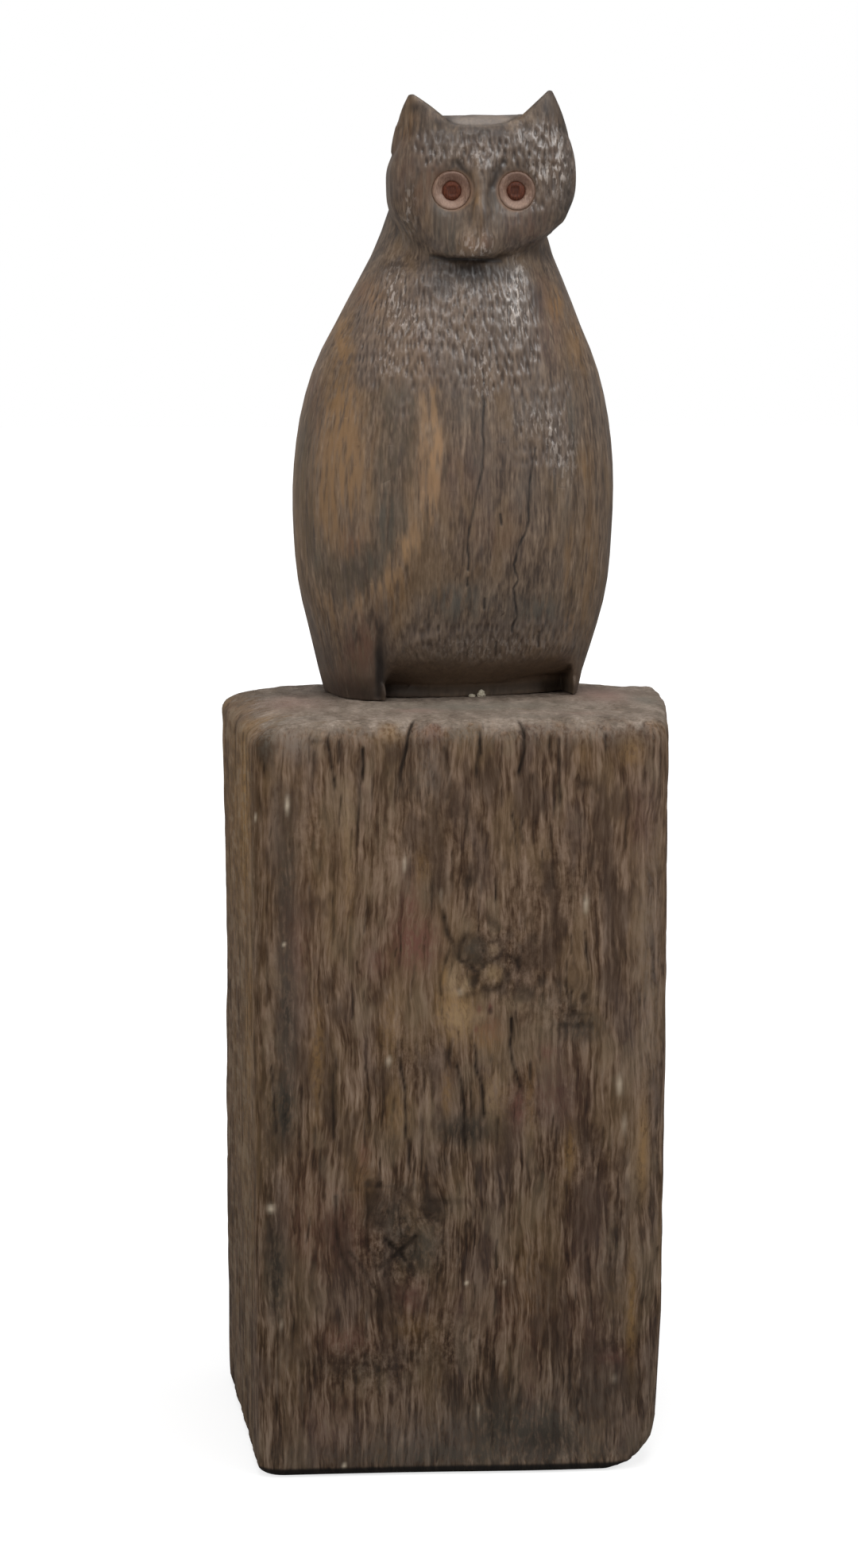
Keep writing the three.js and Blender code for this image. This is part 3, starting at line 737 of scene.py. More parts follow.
# Areas worked with the small gouge, as seen from the front: chest, forehead, right cheek, belly
# right, left and low, and more faintly the whole face. Middle across and up, half width, half
# height, soft edge, strength.
WORKED = [
    (-3, 572, 46, 32, 10, 1.0), (14, 662, 34, 11, 4, 0.9), (52, 654, 13, 22, 5, 1.0),
    (46, 523, 17, 24, 7, 0.7), (-28, 536, 16, 12, 6, 0.5), (20, 413, 46, 12, 6, 0.75),
    (10, 638, 56, 34, 8, 0.35),
]


def worked_area():
    """How strongly each corner of the cat is worked with the gouge, from 0 to 1."""
    area = np.zeros(len(x))
    for middle_x, middle_z, half_x, half_z, edge, share in WORKED:
        inside_x = 1 - ease(np.abs(x - middle_x), half_x - edge, half_x + edge)
        inside_z = 1 - ease(np.abs(z - middle_z), half_z - edge, half_z + edge)
        area = np.maximum(area, share * inside_x * inside_z)
    ragged_edge = layered(at / [9, 9, 14], 91, 2)
    return ease(area + 0.28 * ragged_edge, 0.2, 0.85) * ease(toward, 0.2, 0.55)


def line_depth(points, half_width, wander=0.0):
    """1 on a broken line of (x, z) points of the front, fading over its half width."""
    strongest = np.zeros(len(x))
    shift = wander * smooth_noise(np.c_[z / 5, z * 0 + 3.0], 15)
    for (x0, z0), (x1, z1) in zip(points, points[1:]):
        run = np.array([x1 - x0, z1 - z0])
        along = ((x + shift - x0) * run[0] + (z - z0) * run[1]) / (run @ run)
        along = np.clip(along, 0, 1)
        far = np.hypot(x + shift - x0 - along * run[0], z - z0 - along * run[1])
        strongest = np.maximum(strongest, np.exp(-((far / half_width) ** 2)))
    return strongest * ease(toward, 0.1, 0.4)


CRACKS = [
    [(15, 546), (14.5, 536), (14.5, 523), (14.5, 502), (12.5, 494), (8.5, 479), (6.5, 470.5),
     (7, 458), (7, 450)],
    [(38, 481), (38, 475), (36, 467), (33, 460), (31, 452.5), (32, 448.5), (34, 444.5), (31.5, 440),
     (31.5, 434), (32.5, 425.5), (30.5, 417.5)],
    [(42, 512), (40, 500), (38, 481)], [(23, 478.5), (23.5, 473)], [(7, 446), (7, 442)],
    [(15.5, 435), (15, 430)],
    [(22, 412), (22.5, 405)], [(45, 417), (45, 409)],
]
# The arris in which the front of the face ends above, slung from ear to ear; behind it the crown.
ARRIS = [(-5.5, 681), (-0.5, 676), (4, 674.5), (12, 674), (20, 674.5), (27, 676), (31.5, 678.5), (37, 682)]
HAUNCH_GROOVE = [(-39, 421), (-39, 404), (-38.5, 384)]
MOUTH = [(-9.5, 609), (-4, 608), (8, 607.5), (18.5, 607), (25, 607)]


def thin(piece, corners, ratio):
    """Merges the faces with all their corners in a choice, down to a share of their number."""
    corner_count = np.zeros(len(piece.data.polygons), np.int32)
    piece.data.polygons.foreach_get("loop_total", corner_count)
    loop_vertex = np.zeros(len(piece.data.loops), np.int32)
    piece.data.loops.foreach_get("vertex_index", loop_vertex)
    owner = np.repeat(np.arange(len(corner_count)), corner_count)
    chosen = np.bincount(owner, weights=corners[loop_vertex]) >= corner_count
    bpy.ops.object.mode_set(mode="EDIT")
    bpy.ops.mesh.select_all(action="DESELECT")
    bpy.ops.mesh.select_mode(type="FACE")
    bpy.ops.object.mode_set(mode="OBJECT")
    piece.data.polygons.foreach_set("select", chosen)
    bpy.ops.object.mode_set(mode="EDIT")
    bpy.ops.mesh.decimate(ratio=ratio)
    bpy.ops.object.mode_set(mode="OBJECT")


# The back and the sides turned to it are plain and get large faces, the smooth parts of the front
# middling ones, and the worked areas, the cracks and the eyes keep the smallest.
at, normals, x, y, z, toward = surveyed(cat)
thin(cat, normals[:, 1] > -0.22, 0.06)
at, normals, x, y, z, toward = surveyed(cat)
fine = worked_area()
for line in [*CRACKS, ARRIS, HAUNCH_GROOVE, MOUTH]:
    fine = np.maximum(fine, line_depth(line, 2))
EYES = [(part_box(f"eye_ring_{side}")[0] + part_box(f"eye_ring_{side}")[1]) / 2 for side in ("left", "right")]
for eye in EYES:
    fine = np.maximum(fine, np.hypot(x - eye.x / MM, z - eye.z / MM) < 13)
thin(cat, (fine < 0.08) & (normals[:, 1] < -0.22), 0.26)


def neighbours(piece):
    """The two ends of every edge of a piece, and the number of edges at each corner."""
    ends = np.zeros(len(piece.data.edges) * 2, np.int32)
    piece.data.edges.foreach_get("vertices", ends)
    one, other = ends.reshape(-1, 2).T
    corners = len(piece.data.vertices)
    return one, other, np.bincount(one, minlength=corners) + np.bincount(other, minlength=corners)


def evened(points, links, passes):
    """Points moved step by step towards the middle of their neighbours."""
    one, other, count = links
    for _ in range(passes):
        total = np.zeros_like(points)
        for axis in range(3):
            total[:, axis] = np.bincount(one, points[other, axis], len(points))
            total[:, axis] += np.bincount(other, points[one, axis], len(points))
        points = 0.4 * points + 0.6 * total / count[:, None]
    return points


# Where the real form is a little fuller or leaner than the solid: middle across and up, reach
# across and up, and the push along x, y and z. The fifth fills the neck beside the mouth.
links = neighbours(cat)
at, normals, x, y, z, toward = surveyed(cat)
FORM_TRIM = [
    (68, 658, 12, 16, (1.0, 0, 0)), (64, 638, 12, 8, (0.9, 0, 0)), (56, 622, 10, 8, (1.7, 0, 0)),
    (-26, 686, 6, 8, (-0.8, 0, 0)), (-22, 598, 12, 9, (0, -3.2, 0)), (44, 600, 8, 8, (0, -1.6, 0)),
    (-1, 683, 6, 6, (0, 0, -1.0)), (-76, 393, 16, 16, (-1.7, 0, 0)), (0, 394, 38, 5, (0, -3, 0)),
    (40, 394, 26, 5, (0, -2, 0)), (63, 393, 7, 9, (0, -5, 0)),
]
for middle_x, middle_z, reach_x, reach_z, push in FORM_TRIM:
    near = np.exp(-(((x - middle_x) / reach_x) ** 2) - ((z - middle_z) / reach_z) ** 2)
    at = at + (near * (1 - ease(y, 20, 50)))[:, None] * push

# The jaw runs softly into the neck beside the mouth, and the arris of the cove is rounded over.
beside_mouth = ease(np.abs(x - 9), 14, 24) * (1 - ease(np.abs(x - 9), 42, 50))
jaw = beside_mouth * ease(z, 590, 600) * (1 - ease(z, 624, 634)) * (1 - ease(y, 10, 22))
cove = ease(x, -44, -38) * (1 - ease(x, 72, 76)) * ease(z, 386, 392) * (1 - ease(z, 412, 424))
cove = cove * (1 - ease(y, 14, 24))
at = at + (evened(at, links, 130) - at) * np.maximum(jaw, cove)[:, None]
move_to(cat, at)
at, normals, x, y, z, toward = surveyed(cat)


def gouge_rows(across, up, width, length, seed):
    """Depth from 0 to 1 of staggered rows of short upright scoops with worn ridges between."""
    uncut = np.ones(len(across))
    row = np.floor(up / length)
    for row_step in (-1, 0, 1):
        this_row = row + row_step
        shift = np.mod(this_row, 2) * 0.5
        column = np.floor(across / width - shift)
        for column_step in (-1, 0, 1):
            this_column = column + column_step
            keys = (np.c_[this_column, this_row].astype(np.int64) + 5000) * HASH_STEPS[:2]
            key = np.bitwise_xor.reduce(keys, axis=1) ^ seed
            chances = [((key * step) >> 11) % 1009 / 1009 for step in (40503, 69069, 12289, 31337)]
            middle_x = (this_column + 0.5 + shift + 0.5 * (chances[0] - 0.5)) * width
            middle_z = (this_row + 0.5 + 0.7 * (chances[1] - 0.5)) * length
            size = 0.75 + 0.5 * chances[2]
            off = np.clip((across - middle_x) / (0.62 * width * size), -1, 1)
            along = np.clip((up - middle_z) / (1.5 * length * size) + 0.5, 0, 1)
            inside = (1 - off**2) ** 2 * np.sin(math.pi * along) ** 2
            uncut = uncut * (1 - inside * (0.25 + 0.75 * chances[3]))
    return 1 - uncut


worked = worked_area()
around = 78 * np.arctan2(x - 3, 45 - y) + 1.2 * smooth_noise(at / [16, 16, 16], 107)
scoops = gouge_rows(around, z, 2.8, 6.6, 3)
head_scoops = gouge_rows(x + 1.2 * smooth_noise(at / [12, 12, 12], 109), z + 2, 2.7, 5.6, 9)
on_head = ease(z, 606, 612) * (y < 10)
scoops = scoops * (1 - on_head) + head_scoops * on_head
heave = worked * (0.3 - scoops * 0.95)

# Rasp marks and raised grain over the whole figure.
heave += 0.16 * layered(at / [13, 13, 42], 95) + 0.05 * layered(at / [2.6, 2.6, 26], 97, 2)

brows = np.maximum(
    line_depth([(1.5, 656.5), (5.5, 651), (8.0, 644)], 1.8),
    line_depth([(25.5, 656.5), (22.0, 650), (20.5, 644)], 1.7),
)
haunch_groove = line_depth(HAUNCH_GROOVE, 1.7, 0.5) * (1 - ease(z, 404, 424))
cracks = np.maximum.reduce([line_depth(crack, 0.62, 0.7) for crack in CRACKS])
cracks = cracks * (0.72 + 0.4 * smooth_noise(np.c_[x / 4, z / 5], 103))
ridge = line_depth([(12, 650), (12, 634), (11, 622)], 1.9)
beside_ridge = line_depth([(18.5, 644), (18, 632), (19, 622)], 2.4)
nostril = line_depth([(11, 622), (11, 612)], 1.3)
facets = np.maximum(
    line_depth([(6.5, 619), (7.5, 612)], 2.4), line_depth([(15.5, 619), (15, 612)], 2.4)
)
mouth = line_depth(MOUTH, 1.1)
# The lap of the haunch over the belly, a low curved step above the cove.
lap = line_depth([(-32, 404), (-28.5, 410), (-21, 412.5), (-9, 415.5)], 2.6)
heave += -0.7 * brows - 0.9 * haunch_groove - 0.7 * cracks + 0.7 * ridge - 0.6 * beside_ridge
heave += 0.45 * facets - 0.5 * nostril + 0.4 * lap - 0.4 * mouth
above_arris = z - np.interp(x, *zip(*ARRIS))
between_ears = ease(x, -5, -1) * (1 - ease(x, 32, 37)) * (z > 660) * (1 - ease(y, 30, 60))
crown = between_ears * ease(above_arris, -0.2, 1.6)
heave -= 0.8 * crown
# The rim of each eye's socket, where painted light covers the shadow of the gap.
socket = np.zeros(len(x))
for eye in EYES:
    rim = np.hypot(x - eye.x / MM, z - eye.z / MM)
    heave *= 1 - np.exp(-(((rim - 9.8) / 1.2) ** 2)) * (y < 20)
    socket = np.maximum(socket, np.exp(-(((rim - 9.7) / 0.9) ** 2)) * (y < 20))
at_rest = z < 384
heave[at_rest] = np.minimum(heave[at_rest], 0)
move_to(cat, at + normals * heave[:, None])


points = places(cat)
hollow = ((evened(points, links, 8) - points) * vertex_normals(cat)).sum(axis=1)
for eye in EYES:
    hollow *= np.hypot(x - eye.x / MM, z - eye.z / MM) > 11.5

# Marks of the cat. Among the dark stains, the dark marks under the chin, in the cove and on the inner side of
# the haunch are painted shadow.
CAT_MARKS = {
    "ochre": [
        (-39, 588, 6, 9, 1.1), (-55, 566, 6, 20, 0.8), (55, 585, 4.5, 9, 1.2), (65, 562, 7, 20, 0.7),
        (62, 420, 4, 8, 0.9), (61, 456, 3.5, 24, 0.8), (12, 634, 2.2, 14, 0.9), (10, 618, 7, 6, 0.4),
        (-14, 628, 3, 10, 0.3), (-25, 676, 6, 9, 0.6), (-58, 536, 8, 18, 0.6), (70, 500, 5, 14, 0.5),
        (-10, 540, 3, 10, 0.5), (6, 448, 8, 6, 0.4), (-62, 424, 10, 14, 0.3),
        (-66, 480, 5, 30, 0.3), (-30, 436, 8, 14, 0.5), (72, 450, 6, 46, 0.5), (-29, 660, 4, 14, 0.2),
        (-77, 470, 5, 50, 0.4), (-4, 645, 16, 14, 0.35), (33, 645, 13, 12, 0.2),
    ],
    "rust": [
        (38, 626, 14, 12, 0.6), (-24, 655, 10, 22, 0.4), (-10, 650, 7, 9, 0.8), (-46, 405, 10, 18, 1.2),
        (-70, 540, 5, 18, 0.5), (-16, 640, 5, 12, 0.5), (7, 616, 4, 5, 0.5), (16, 616, 4, 5, 0.7),
        (-50, 390, 16, 14, 1.0),
        (-52, 466, 5, 8, 0.8), (-44, 590, 7, 7, 0.5), (50, 570, 8, 18, 0.5), (46, 588, 6, 14, 0.6),
        (0, 500, 22, 22, 0.35), (20, 470, 22, 16, 0.3), (-20, 562, 14, 14, 0.25), (22, 664, 20, 8, 0.3),
        (52, 664, 9, 12, 0.4), (28, 640, 8, 10, 0.3),
    ],
    "slate": [
        (1, 434, 14, 10, 1.3), (-3, 620, 8, 15, 0.9), (21, 634, 4, 14, 1.0), (-24, 622, 7, 8, 0.6),
        (27, 582, 9, 12, 0.8), (-36, 477, 5, 15, 1.2), (61, 529, 4.5, 30, 0.9), (45, 428, 13, 8, 1.2),
        (58, 480, 4, 26, 0.6), (-40, 455, 7, 6, 0.8), (-68, 456, 6, 6, 0.7), (64, 460, 5, 30, 0.3),
        (33, 596, 6, 10, 0.9), (30, 665, 12, 9, 0.5), (-3, 660, 7, 8, 0.6), (42, 530, 12, 10, 0.6),
        (-27, 540, 9, 9, 0.6), (-76, 505, 4, 50, 0.5), (0, 670, 12, 5, 0.5), (58, 626, 7, 14, 0.7),
        (12, 560, 18, 8, 0.4), (54, 500, 5, 16, 0.6), (-5, 632, 6, 7, 0.9), (8, 530, 12, 12, 0.35),
        (-30, 640, 4, 10, 0.4), (3, 552, 8, 10, 0.5), (-28, 560, 8, 8, 0.3),
    ],
    "soot": [
        (-48, 386, 20, 12, 0.85), (10, 601, 22, 6, 1.15), (-27, 690, 5, 4, 1.0), (-6, 596, 9, 7, 0.8),
        (-37.5, 398, 3.4, 22, 1.3), (71, 391, 9, 12, 0.3), (-4, 606, 12, 3, 0.8), (43, 588, 5, 10, 0.5),
        (42, 686, 9, 9, 0.6), (22, 671, 5, 2.5, 0.7), (-2, 677, 2, 4, 0.8), (18, 638, 3.5, 8, 0.5),
        (-18, 684, 6, 3, 0.8), (-7, 676, 4, 3, 0.6), (50, 693, 4, 4, 0.8), (-6, 669, 6, 5, 0.5),
        (49, 684, 9, 9, 0.35),
        (15, 672, 9, 4, 0.6), (60, 640, 3, 20, 0.7), (-17, 616, 6, 4, 0.5), (-73, 480, 2.5, 40, 0.2),
        (58, 676, 3.5, 12, 0.7), (46, 612, 12, 5, 0.6), (-36, 404, 3.5, 14, 0.8),
        (-30, 604, 8, 5, 0.3), (-34, 668, 3, 26, 0.5), (-72, 400, 14, 10, 0.5),
        (20, 602, 30, 4, 0.4), (-2, 647, 9, 8, 0.2), (33, 647, 9, 8, 0.15),
    ],
    "recess": [(14, 392, 60, 12, 1.2), (-16, 391, 20, 13, 1.2), (46, 391, 24, 13, 1.2)],
    "glint": [
        (46, 652, 8, 8, 1.0), (-29, 592, 5, 12, 0.9), (-25, 578, 12, 9, 0.7), (-33, 556, 8, 8, 0.5),
        (14, 550, 6, 14, 0.7), (-22, 632, 3, 14, 0.5), (11, 612, 8, 7, 0.8),
        (32, 588, 6, 16, 1.2), (34, 600, 4, 7, 1.2), (37, 583, 2.5, 6, 1.2), (52, 518, 5, 12, 1.0),
        (44, 526, 14, 10, 0.5), (55, 655, 7, 14, 1.3), (40, 668, 9, 10, 0.5), (14, 660, 16, 5, 0.7),
        (-4, 661, 7, 4, 0.7), (47, 676, 8, 10, 0.25), (12, 616, 9, 6, 0.4), (20, 408, 34, 8, 0.4),
        (-8, 572, 14, 14, 0.3), (58, 508, 6, 14, 0.6), (6, 592, 14, 8, 0.4), (8, 566, 12, 10, 0.4),
    ],
}
# The outer of two pale growth rings of the left flank, and the wider inner one: along them the
# strength changes, as (place, height, half width, half height, strength).
RING_STRENGTH = [
    (-11, 508, 9, 30, 1.1), (-14, 484, 9, 18, 0.9), (-25, 461, 12, 14, 0.85), (-37, 444, 14, 12, 0.7),
    (-14, 536, 8, 12, 0.6), (-52, 434, 16, 9, 0.5), (-16, 556, 8, 14, 0.25),
]
INNER_STRENGTH = [
    (-56, 500, 15, 46, 1.1), (-53, 464, 12, 18, 0.9), (-56, 545, 12, 22, 0.7), (-80, 490, 24, 50, 0.5),
    (-53, 570, 8, 22, 0.4),
]
# Painted shade along the sharp outer edges of the ears.
ear_edge_shade = 0.8 * ease(-hollow, 0.12, 0.5) * ease(z, 672, 682)
for kind, marks in CAT_MARKS.items():
    strength = blot(x, z, marks) * ease(-normals[:, 1], -0.3, 0.25)
    keep_values(cat, kind, np.maximum(strength, ear_edge_shade * (kind == "soot")))
keep_values(cat, "outer_ring", blot(x, z, RING_STRENGTH))
keep_values(cat, "inner_ring", blot(x, z, INNER_STRENGTH))
# Painted shade in the gouge scoops.
keep_values(cat, "scoop", scoops * worked)
keep_values(cat, "worked", worked)
keep_values(cat, "crown", crown)
keep_values(cat, "socket", socket)
# Painted shade in the hollows; on the ridges rubbed wear with a painted highlight.
keep_values(cat, "hollow", np.clip(hollow / 0.35, 0, 1))
keep_values(cat, "worn", np.clip(-hollow / 0.45, 0, 1))
# Cracks drawn dark, with painted shade in the brow grooves and the haunch groove, along the chin's lower edge
# and along the arris in front of the crown.
off_middle = np.clip(np.abs(x - 13) / 16, 0, 1)
arris_shade = between_ears * np.exp(-(((above_arris - 0.2) / 0.9) ** 2)) * off_middle
cracks_and_shade_lines = [cracks * 1.1, brows * 0.75, haunch_groove * 0.75, mouth * 0.8, arris_shade * 0.7]
cracks_and_shade_lines = np.maximum.reduce(cracks_and_shade_lines)
keep_values(cat, "check", np.clip(cracks_and_shade_lines, 0, 1))

waxed, shader, start = new_finish("stained_and_waxed")
x, y, z = in_millimetres(start)
warp = stretched(start, x, y, z * 0.3).noise(0.03, 2.0, 0.5) - 0.5
rise = z - 490.0
field = x * -0.3624 + y * -0.3969 + rise * 0.0666 - rise * rise * 0.000679 - 14.25 + warp * 5.0
ripple = stretched(start, x, y, z * 0.14).noise(0.26, 3.0, 0.6) - 0.5
field = field + ripple * 8.0
fibres = stretched(start, x, y, z * 0.12).noise(0.90, 2.0, 0.5)
streaks = stretched(start, x, y, z * 0.08).noise(0.33, 3.0, 0.55)
flecks = stretched(start, x, y, z * 0.24).noise(0.56, 2.0, 0.55)
broken = stretched(start, x + 90.0, y, z * 0.12).noise(0.36, 2.0, 0.55)
blotches = stretched(start, x, y, z * 0.35).noise(0.06, 3.0, 0.6)
line_phase = field.math("MULTIPLY", field, 0.9)
rings = line_phase.math("SINE", line_phase) * 0.5 + 0.5
grain_tone = streaks * 0.30 + fibres * 0.32 + flecks * 0.32 + rings * 0.06
colour = start.node(
    "ValToRGB",
    {
        "stops": [
            (0.34, paint(44, 33, 25)),
            (0.44, paint(70, 55, 43)),
            (0.51, paint(93, 76, 61)),
            (0.59, paint(112, 94, 77)),
            (0.69, paint(140, 120, 101)),
        ]
    },
    {0: grain_tone},
)
ragged = broken.between(0.38, 0.58) * 0.8 + 0.2
outer_band = field.between(-2.4, 0.2) * field.between(3.4, 1.2)
inner_band = field.between(5.6, 9.0)
between_bands = field.between(1.4, 3.6) * field.between(9.0, 5.8) * z.between(560.0, 530.0)
colour = colour.under(blotches.between(0.5, 0.66) * 0.40, paint(108, 84, 56))
colour = colour.under(blotches.between(0.5, 0.36) * 0.35, paint(78, 70, 64))
colour = colour.under(between_bands * (ragged * 0.45), paint(72, 62, 46))
inner_band = inner_band * stored(start, "inner_ring")
colour = colour.under(inner_band * (ragged * 0.85), paint(126, 97, 67))
outer_band = outer_band * stored(start, "outer_ring")
colour = colour.under(outer_band * (ragged * 0.95), paint(148, 116, 82))
colour = colour.under(stored(start, "ochre") * ragged * 0.80, paint(128, 95, 56))
colour = colour.under(stored(start, "rust") * ragged * 0.65, paint(98, 66, 52))
colour = colour.under(stored(start, "slate") * ragged * 0.60, paint(76, 73, 66))
worked = stored(start, "worked")
colour = colour.under(worked * 0.30, paint(110, 95, 86))
colour = colour.under(stored(start, "crown") * 0.42, paint(142, 133, 126))
# Painted shade in the gouge scoops and hollows, and painted highlight with rubbed wear on ridges.
colour = colour.under(stored(start, "scoop") * 0.60, paint(62, 50, 42))
colour = colour.under(stored(start, "hollow") * 0.6, paint(42, 32, 26))
colour = colour.under(stored(start, "worn") * 0.35, paint(138, 120, 104))
sparks = stretched(start, x, y, z * 0.36).noise(0.55, 2.0, 0.6).between(0.50, 0.62)
colour = colour.under(sparks * stored(start, "glint") * 0.75, paint(176, 164, 154))
# Painted shade: darker towards the base, where the belly turns down and under, and a little more just above
# the cove.
colour = colour.times(1.0 - z.between(470.0, 385.0) * 0.26)
colour = colour.times(1.0 - z.between(414.0, 400.0) * 0.12)
# The head and the forehead a little darker.
colour = colour.times(1.0 - z.between(598.0, 640.0) * 0.14)
colour = colour.times(1.0 - z.between(650.0, 660.0) * z.between(680.0, 672.0) * 0.08)
# Painted light and shade in the cove: lighter up under the belly's shadow, mid brown below.
recess_light_and_shade_mask = stored(start, "recess") * (broken.between(0.3, 0.7) * 0.3 + 0.65)
colour = colour.under(recess_light_and_shade_mask * z.between(384.5, 388.5) * 0.85, paint(112, 93, 76))
colour = colour.under(recess_light_and_shade_mask * z.between(389.5, 386.0), paint(70, 59, 49))
# Dark stains, with painted shadow under the chin, in the cove and along the ear edges.
colour = colour.under(stored(start, "soot") * 0.85, paint(33, 25, 20))
# Cracks, and painted shade in the grooves of brow and haunch, under the chin and at the arris.
colour = colour.under(stored(start, "check") * 0.85, paint(22, 15, 11))
# Painted light over the shadow in the gap round each eye ring.
colour = colour.under(stored(start, "socket") * 0.65, paint(122, 95, 76))
roughness = 0.46 + fibres * 0.20 - worked * 0.18 + stored(start, "soot") * 0.2
bump_height = fibres * 0.6 + streaks * 0.4
bump = start.node("Bump", {}, {"Strength": 0.32, "Distance": 0.0007, "Height": bump_height})
wax = worked * (stored(start, "glint") * 0.24 + 0.13) + 0.04
wire(start, shader, {"Base Color": colour, "Roughness": roughness, "Normal": bump, "Coat Weight": wax})
shader.inputs["Specular IOR Level"].default_value = 0.42
shader.inputs["Coat Roughness"].default_value = 0.24
cat.data.materials.append(waxed)
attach(cat, "root")
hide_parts("cat_figure")

# Eye rings: two turned and dished rings of a paler, redder wood, let into the face.
ring_wood, shader, start = new_finish("pale_ring_wood")
x, y, z = in_millimetres(start)
fibres = stretched(start, x, y, z * 0.2).noise(1.6, 3.0, 0.6)
colour = start.node(
    "ValToRGB",
    {"stops": [(0.3, paint(88, 63, 50)), (0.5, paint(118, 91, 75)), (0.7, paint(142, 116, 99))]},
    {0: fibres},
)
# Painted shade on the top of each ring, under the brow, and painted light on its lower half.
colour = colour.under(stored(start, "upper") * 0.60, paint(92, 64, 52))
colour = colour.under(stored(start, "lower") * 0.50, paint(148, 122, 106))
colour = colour.under(stored(start, "rim") * 0.35, paint(104, 82, 67))
colour = colour.under(stored(start, "bore") * 0.60, paint(92, 60, 46))
bump = start.node("Bump", {}, {"Strength": 0.3, "Distance": 0.0003, "Height": fibres})
wire(start, shader, {"Base Color": colour, "Roughness": 0.5 + fibres * 0.2, "Normal": bump})
shader.inputs["Coat Weight"].default_value = 0.05
for side_name in ("left", "right"):
    ring = carved_copy(f"eye_ring_{side_name}", f"dished_ring_{side_name}", 0.42, 3)
    points = places(ring)
    low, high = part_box(f"eye_ring_{side_name}")
    off = (points - np.array((low + high) / 2) / MM) / 9.4
    # The top of each ring gets painted shade, its lower half painted light.
    height = (off[:, 2] + 0.35 * off[:, 0]) / 1.06
    keep_values(ring, "upper", ease(height, 0.1, 0.8))
    keep_values(ring, "lower", ease(height, 0.0, -0.8))
    reach = np.hypot(off[:, 0], off[:, 2])
    keep_values(ring, "rim", ease(reach, 0.84, 1.0))
    keep_values(ring, "bore", 1 - ease(reach, 0.57, 0.66))
    swell = 0.38 + 0.14 * layered(points / 2.4, 40) + 0.25 * ease(reach, 0.84, 0.96)
    move_to(ring, points + vertex_normals(ring) * swell[:, None])
    ring.data.materials.append(ring_wood)
    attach(ring, "root")
    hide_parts(f"eye_ring_{side_name}")

# Pupils: round plugs of dark red-brown wood, each with a squarish punch mark in its middle.
pupil_wood, shader, start = new_finish("dark_pupil_wood")
x, y, z = in_millimetres(start)
fibres = stretched(start, x, y, z * 0.3).noise(1.8, 3.0, 0.6)
colour = start.node(
    "ValToRGB",
    {"stops": [(0.3, paint(56, 28, 18)), (0.5, paint(80, 42, 28)), (0.7, paint(104, 58, 40))]},
    {0: fibres},
)
colour = colour.under(stored(start, "punch") * 0.35, paint(44, 20, 13))
bump = start.node("Bump", {}, {"Strength": 0.3, "Distance": 0.0003, "Height": fibres})
wire(start, shader, {"Base Color": colour, "Roughness": 0.5 + fibres * 0.2, "Normal": bump})
shader.inputs["Specular IOR Level"].default_value = 0.2
for side_name in ("left", "right"):
    low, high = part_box(f"pupil_{side_name}")
    middle = (low + high) / 2 / MM
    pupil = carved_copy(f"pupil_{side_name}", f"dark_pupil_{side_name}", 0.4, 3)
    points = places(pupil)
    off = np.abs(points[:, [0, 2]] - [middle.x, middle.z])
    square = (off**3.2).sum(axis=1) ** (1 / 3.2)
    outside = points[:, 1] < middle.y
    punch = (1 - ease(square, 1.7, 3.0)) * outside
    move_to(pupil, points + vertex_normals(pupil) * (0.2 - 0.7 * punch)[:, None])
    keep_values(pupil, "punch", punch)
    pupil.data.materials.append(pupil_wood)
    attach(pupil, "root")
    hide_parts(f"pupil_{side_name}")

# Filler: a crumb of pale filler, and a smaller one, left in the joint in front of the belly.
filler, shader, start = new_finish("dried_filler")
x, y, z = in_millimetres(start)
crumb = stretched(start, x, y, z).noise(1.2, 3.0, 0.6)
colour = start.node(
    "ValToRGB",
    {"stops": [(0.35, paint(126, 117, 100)), (0.65, paint(180, 172, 154))]},
    {0: crumb},
)
wire(start, shader, {"Base Color": colour, "Roughness": 0.8})
for number, (place, size) in enumerate(
    [((16.6, 9.0, 383.1), (2.1, 1.6, 2.2)), ((11.6, 9.4, 382.3), (1.7, 1.2, 1.0))]
):
    bpy.ops.mesh.primitive_ico_sphere_add(subdivisions=4, radius=MM)
    speck = bpy.context.object
    speck.name = f"filler_crumb_{number + 1}"
    points = places(speck) * size
    points *= 1 + 0.22 * layered(points / 1.1 + 9 * number, 44)[:, None]
    move_to(speck, points + place)
    bpy.ops.object.shade_smooth()
    speck.data.materials.append(filler)
    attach(speck, "root")

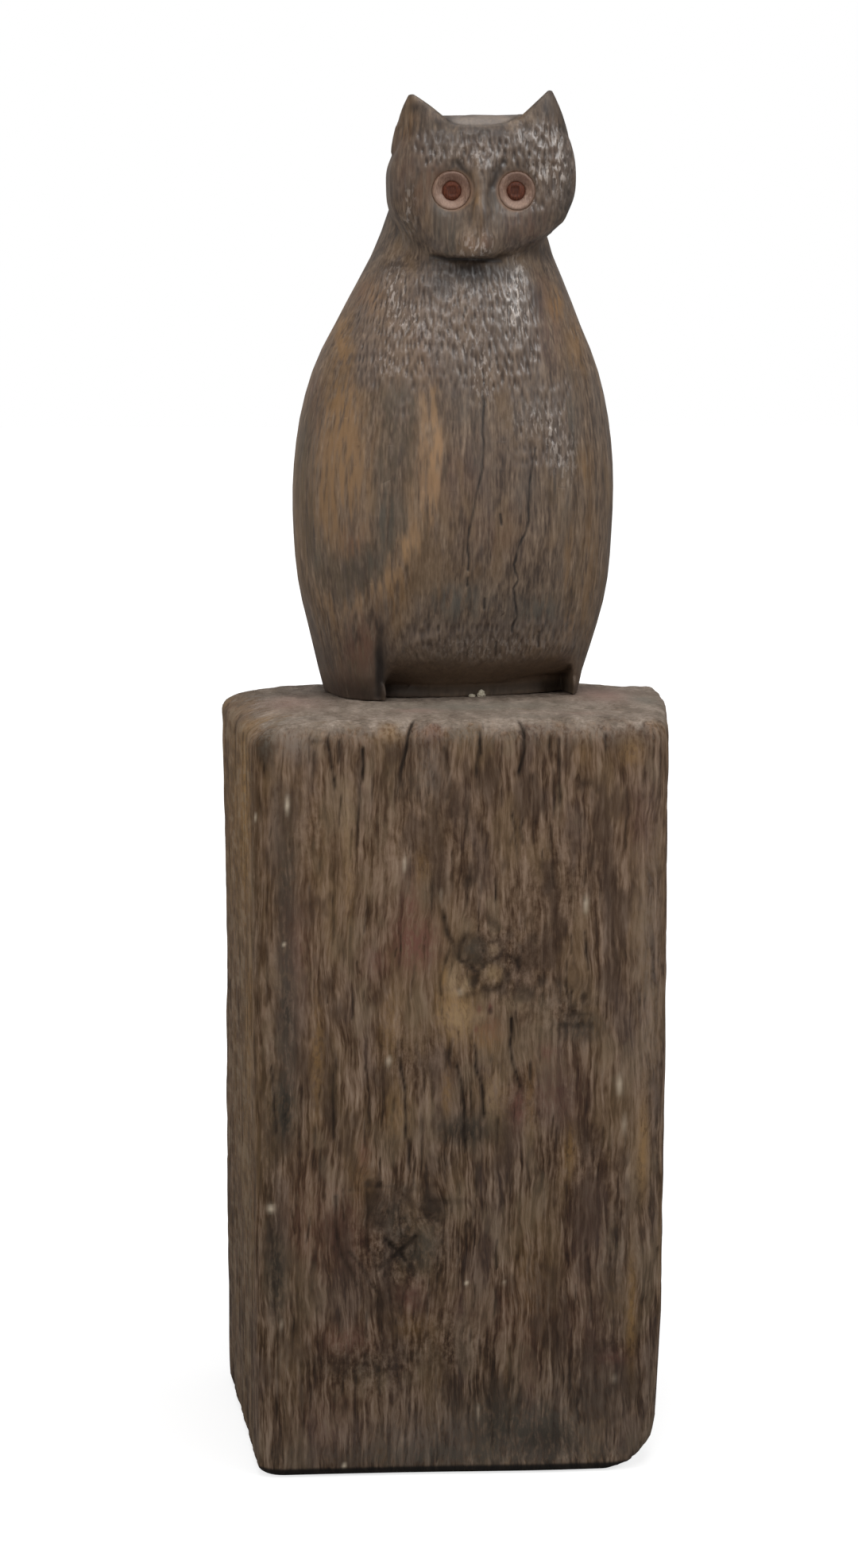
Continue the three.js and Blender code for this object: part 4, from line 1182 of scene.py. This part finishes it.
# Floor and room: a white sweep under and behind the block, as bright as the background.
bpy.ops.mesh.primitive_plane_add(size=40, location=(0, 0, -0.0004))
floor = bpy.context.object
floor.name = "white_floor"
sweep, shader, start = new_finish("white_sweep")
wire(start, shader, {"Base Color": (0.35, 0.35, 0.35, 1), "Roughness": 1.0})
place = start.node("TexCoord", {}, {}, "Object")
away = start.node("VectorMath", {"operation": "LENGTH"}, {0: place}, "Value")
level = away.between(0.22, 0.75) * 0.28 + 0.74
grey = start.node("CombineColor", {}, {0: level, 1: level, 2: level})
glow = start.node("Emission", {}, {"Color": grey, "Strength": 1.0})
seen = start.node("LightPath", {}, {}, "Is Camera Ray")
matt = Socket(start.tree, shader.outputs[0])
lit = start.node("AddShader", {}, {0: matt, 1: glow})
final = start.node("MixShader", {}, {0: seen, 1: matt, 2: lit})
start.tree.links.new(final.output, start.tree.nodes["Material Output"].inputs[0])
floor.data.materials.append(sweep)
floor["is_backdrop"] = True

world = bpy.data.worlds.new("white_room")
world.use_nodes = True
bpy.context.scene.world = world
air = Socket(world.node_tree)
backdrop = world.node_tree.nodes["Background"]
seen = air.node("LightPath", {}, {}, "Is Camera Ray")
level = seen * 0.62 + 0.38
backdrop.inputs["Color"].default_value = (1, 1, 1, 1)
world.node_tree.links.new(level.output, backdrop.inputs["Strength"])


def softbox(name, place, aim, size, power):
    bpy.ops.object.light_add(type="AREA", location=place)
    lamp = bpy.context.object
    lamp.name = name
    lamp.data.shape = "DISK"
    lamp.data.size = size
    lamp.data.energy = power
    lamp.rotation_euler = (Vector(aim) - Vector(place)).to_track_quat("-Z", "Y").to_euler()
    return lamp


softbox("overhead", (0.1, -0.3, 2.4), (0, 0, 0.4), 1.4, 22)
softbox("key", (1.7, -1.3, 1.8), (0, 0, 0.5), 0.9, 26)
softbox("front", (-0.3, -2.1, 2.1), (0, 0, 0.5), 0.8, 16)
left_fill = softbox("left_fill", (-2.3, -0.9, 0.9), (0, 0, 0.35), 1.4, 26)
left_fill.visible_glossy = False

bpy.context.scene.view_settings.view_transform = "Standard"
bpy.context.scene.view_settings.look = "None"

low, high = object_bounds()
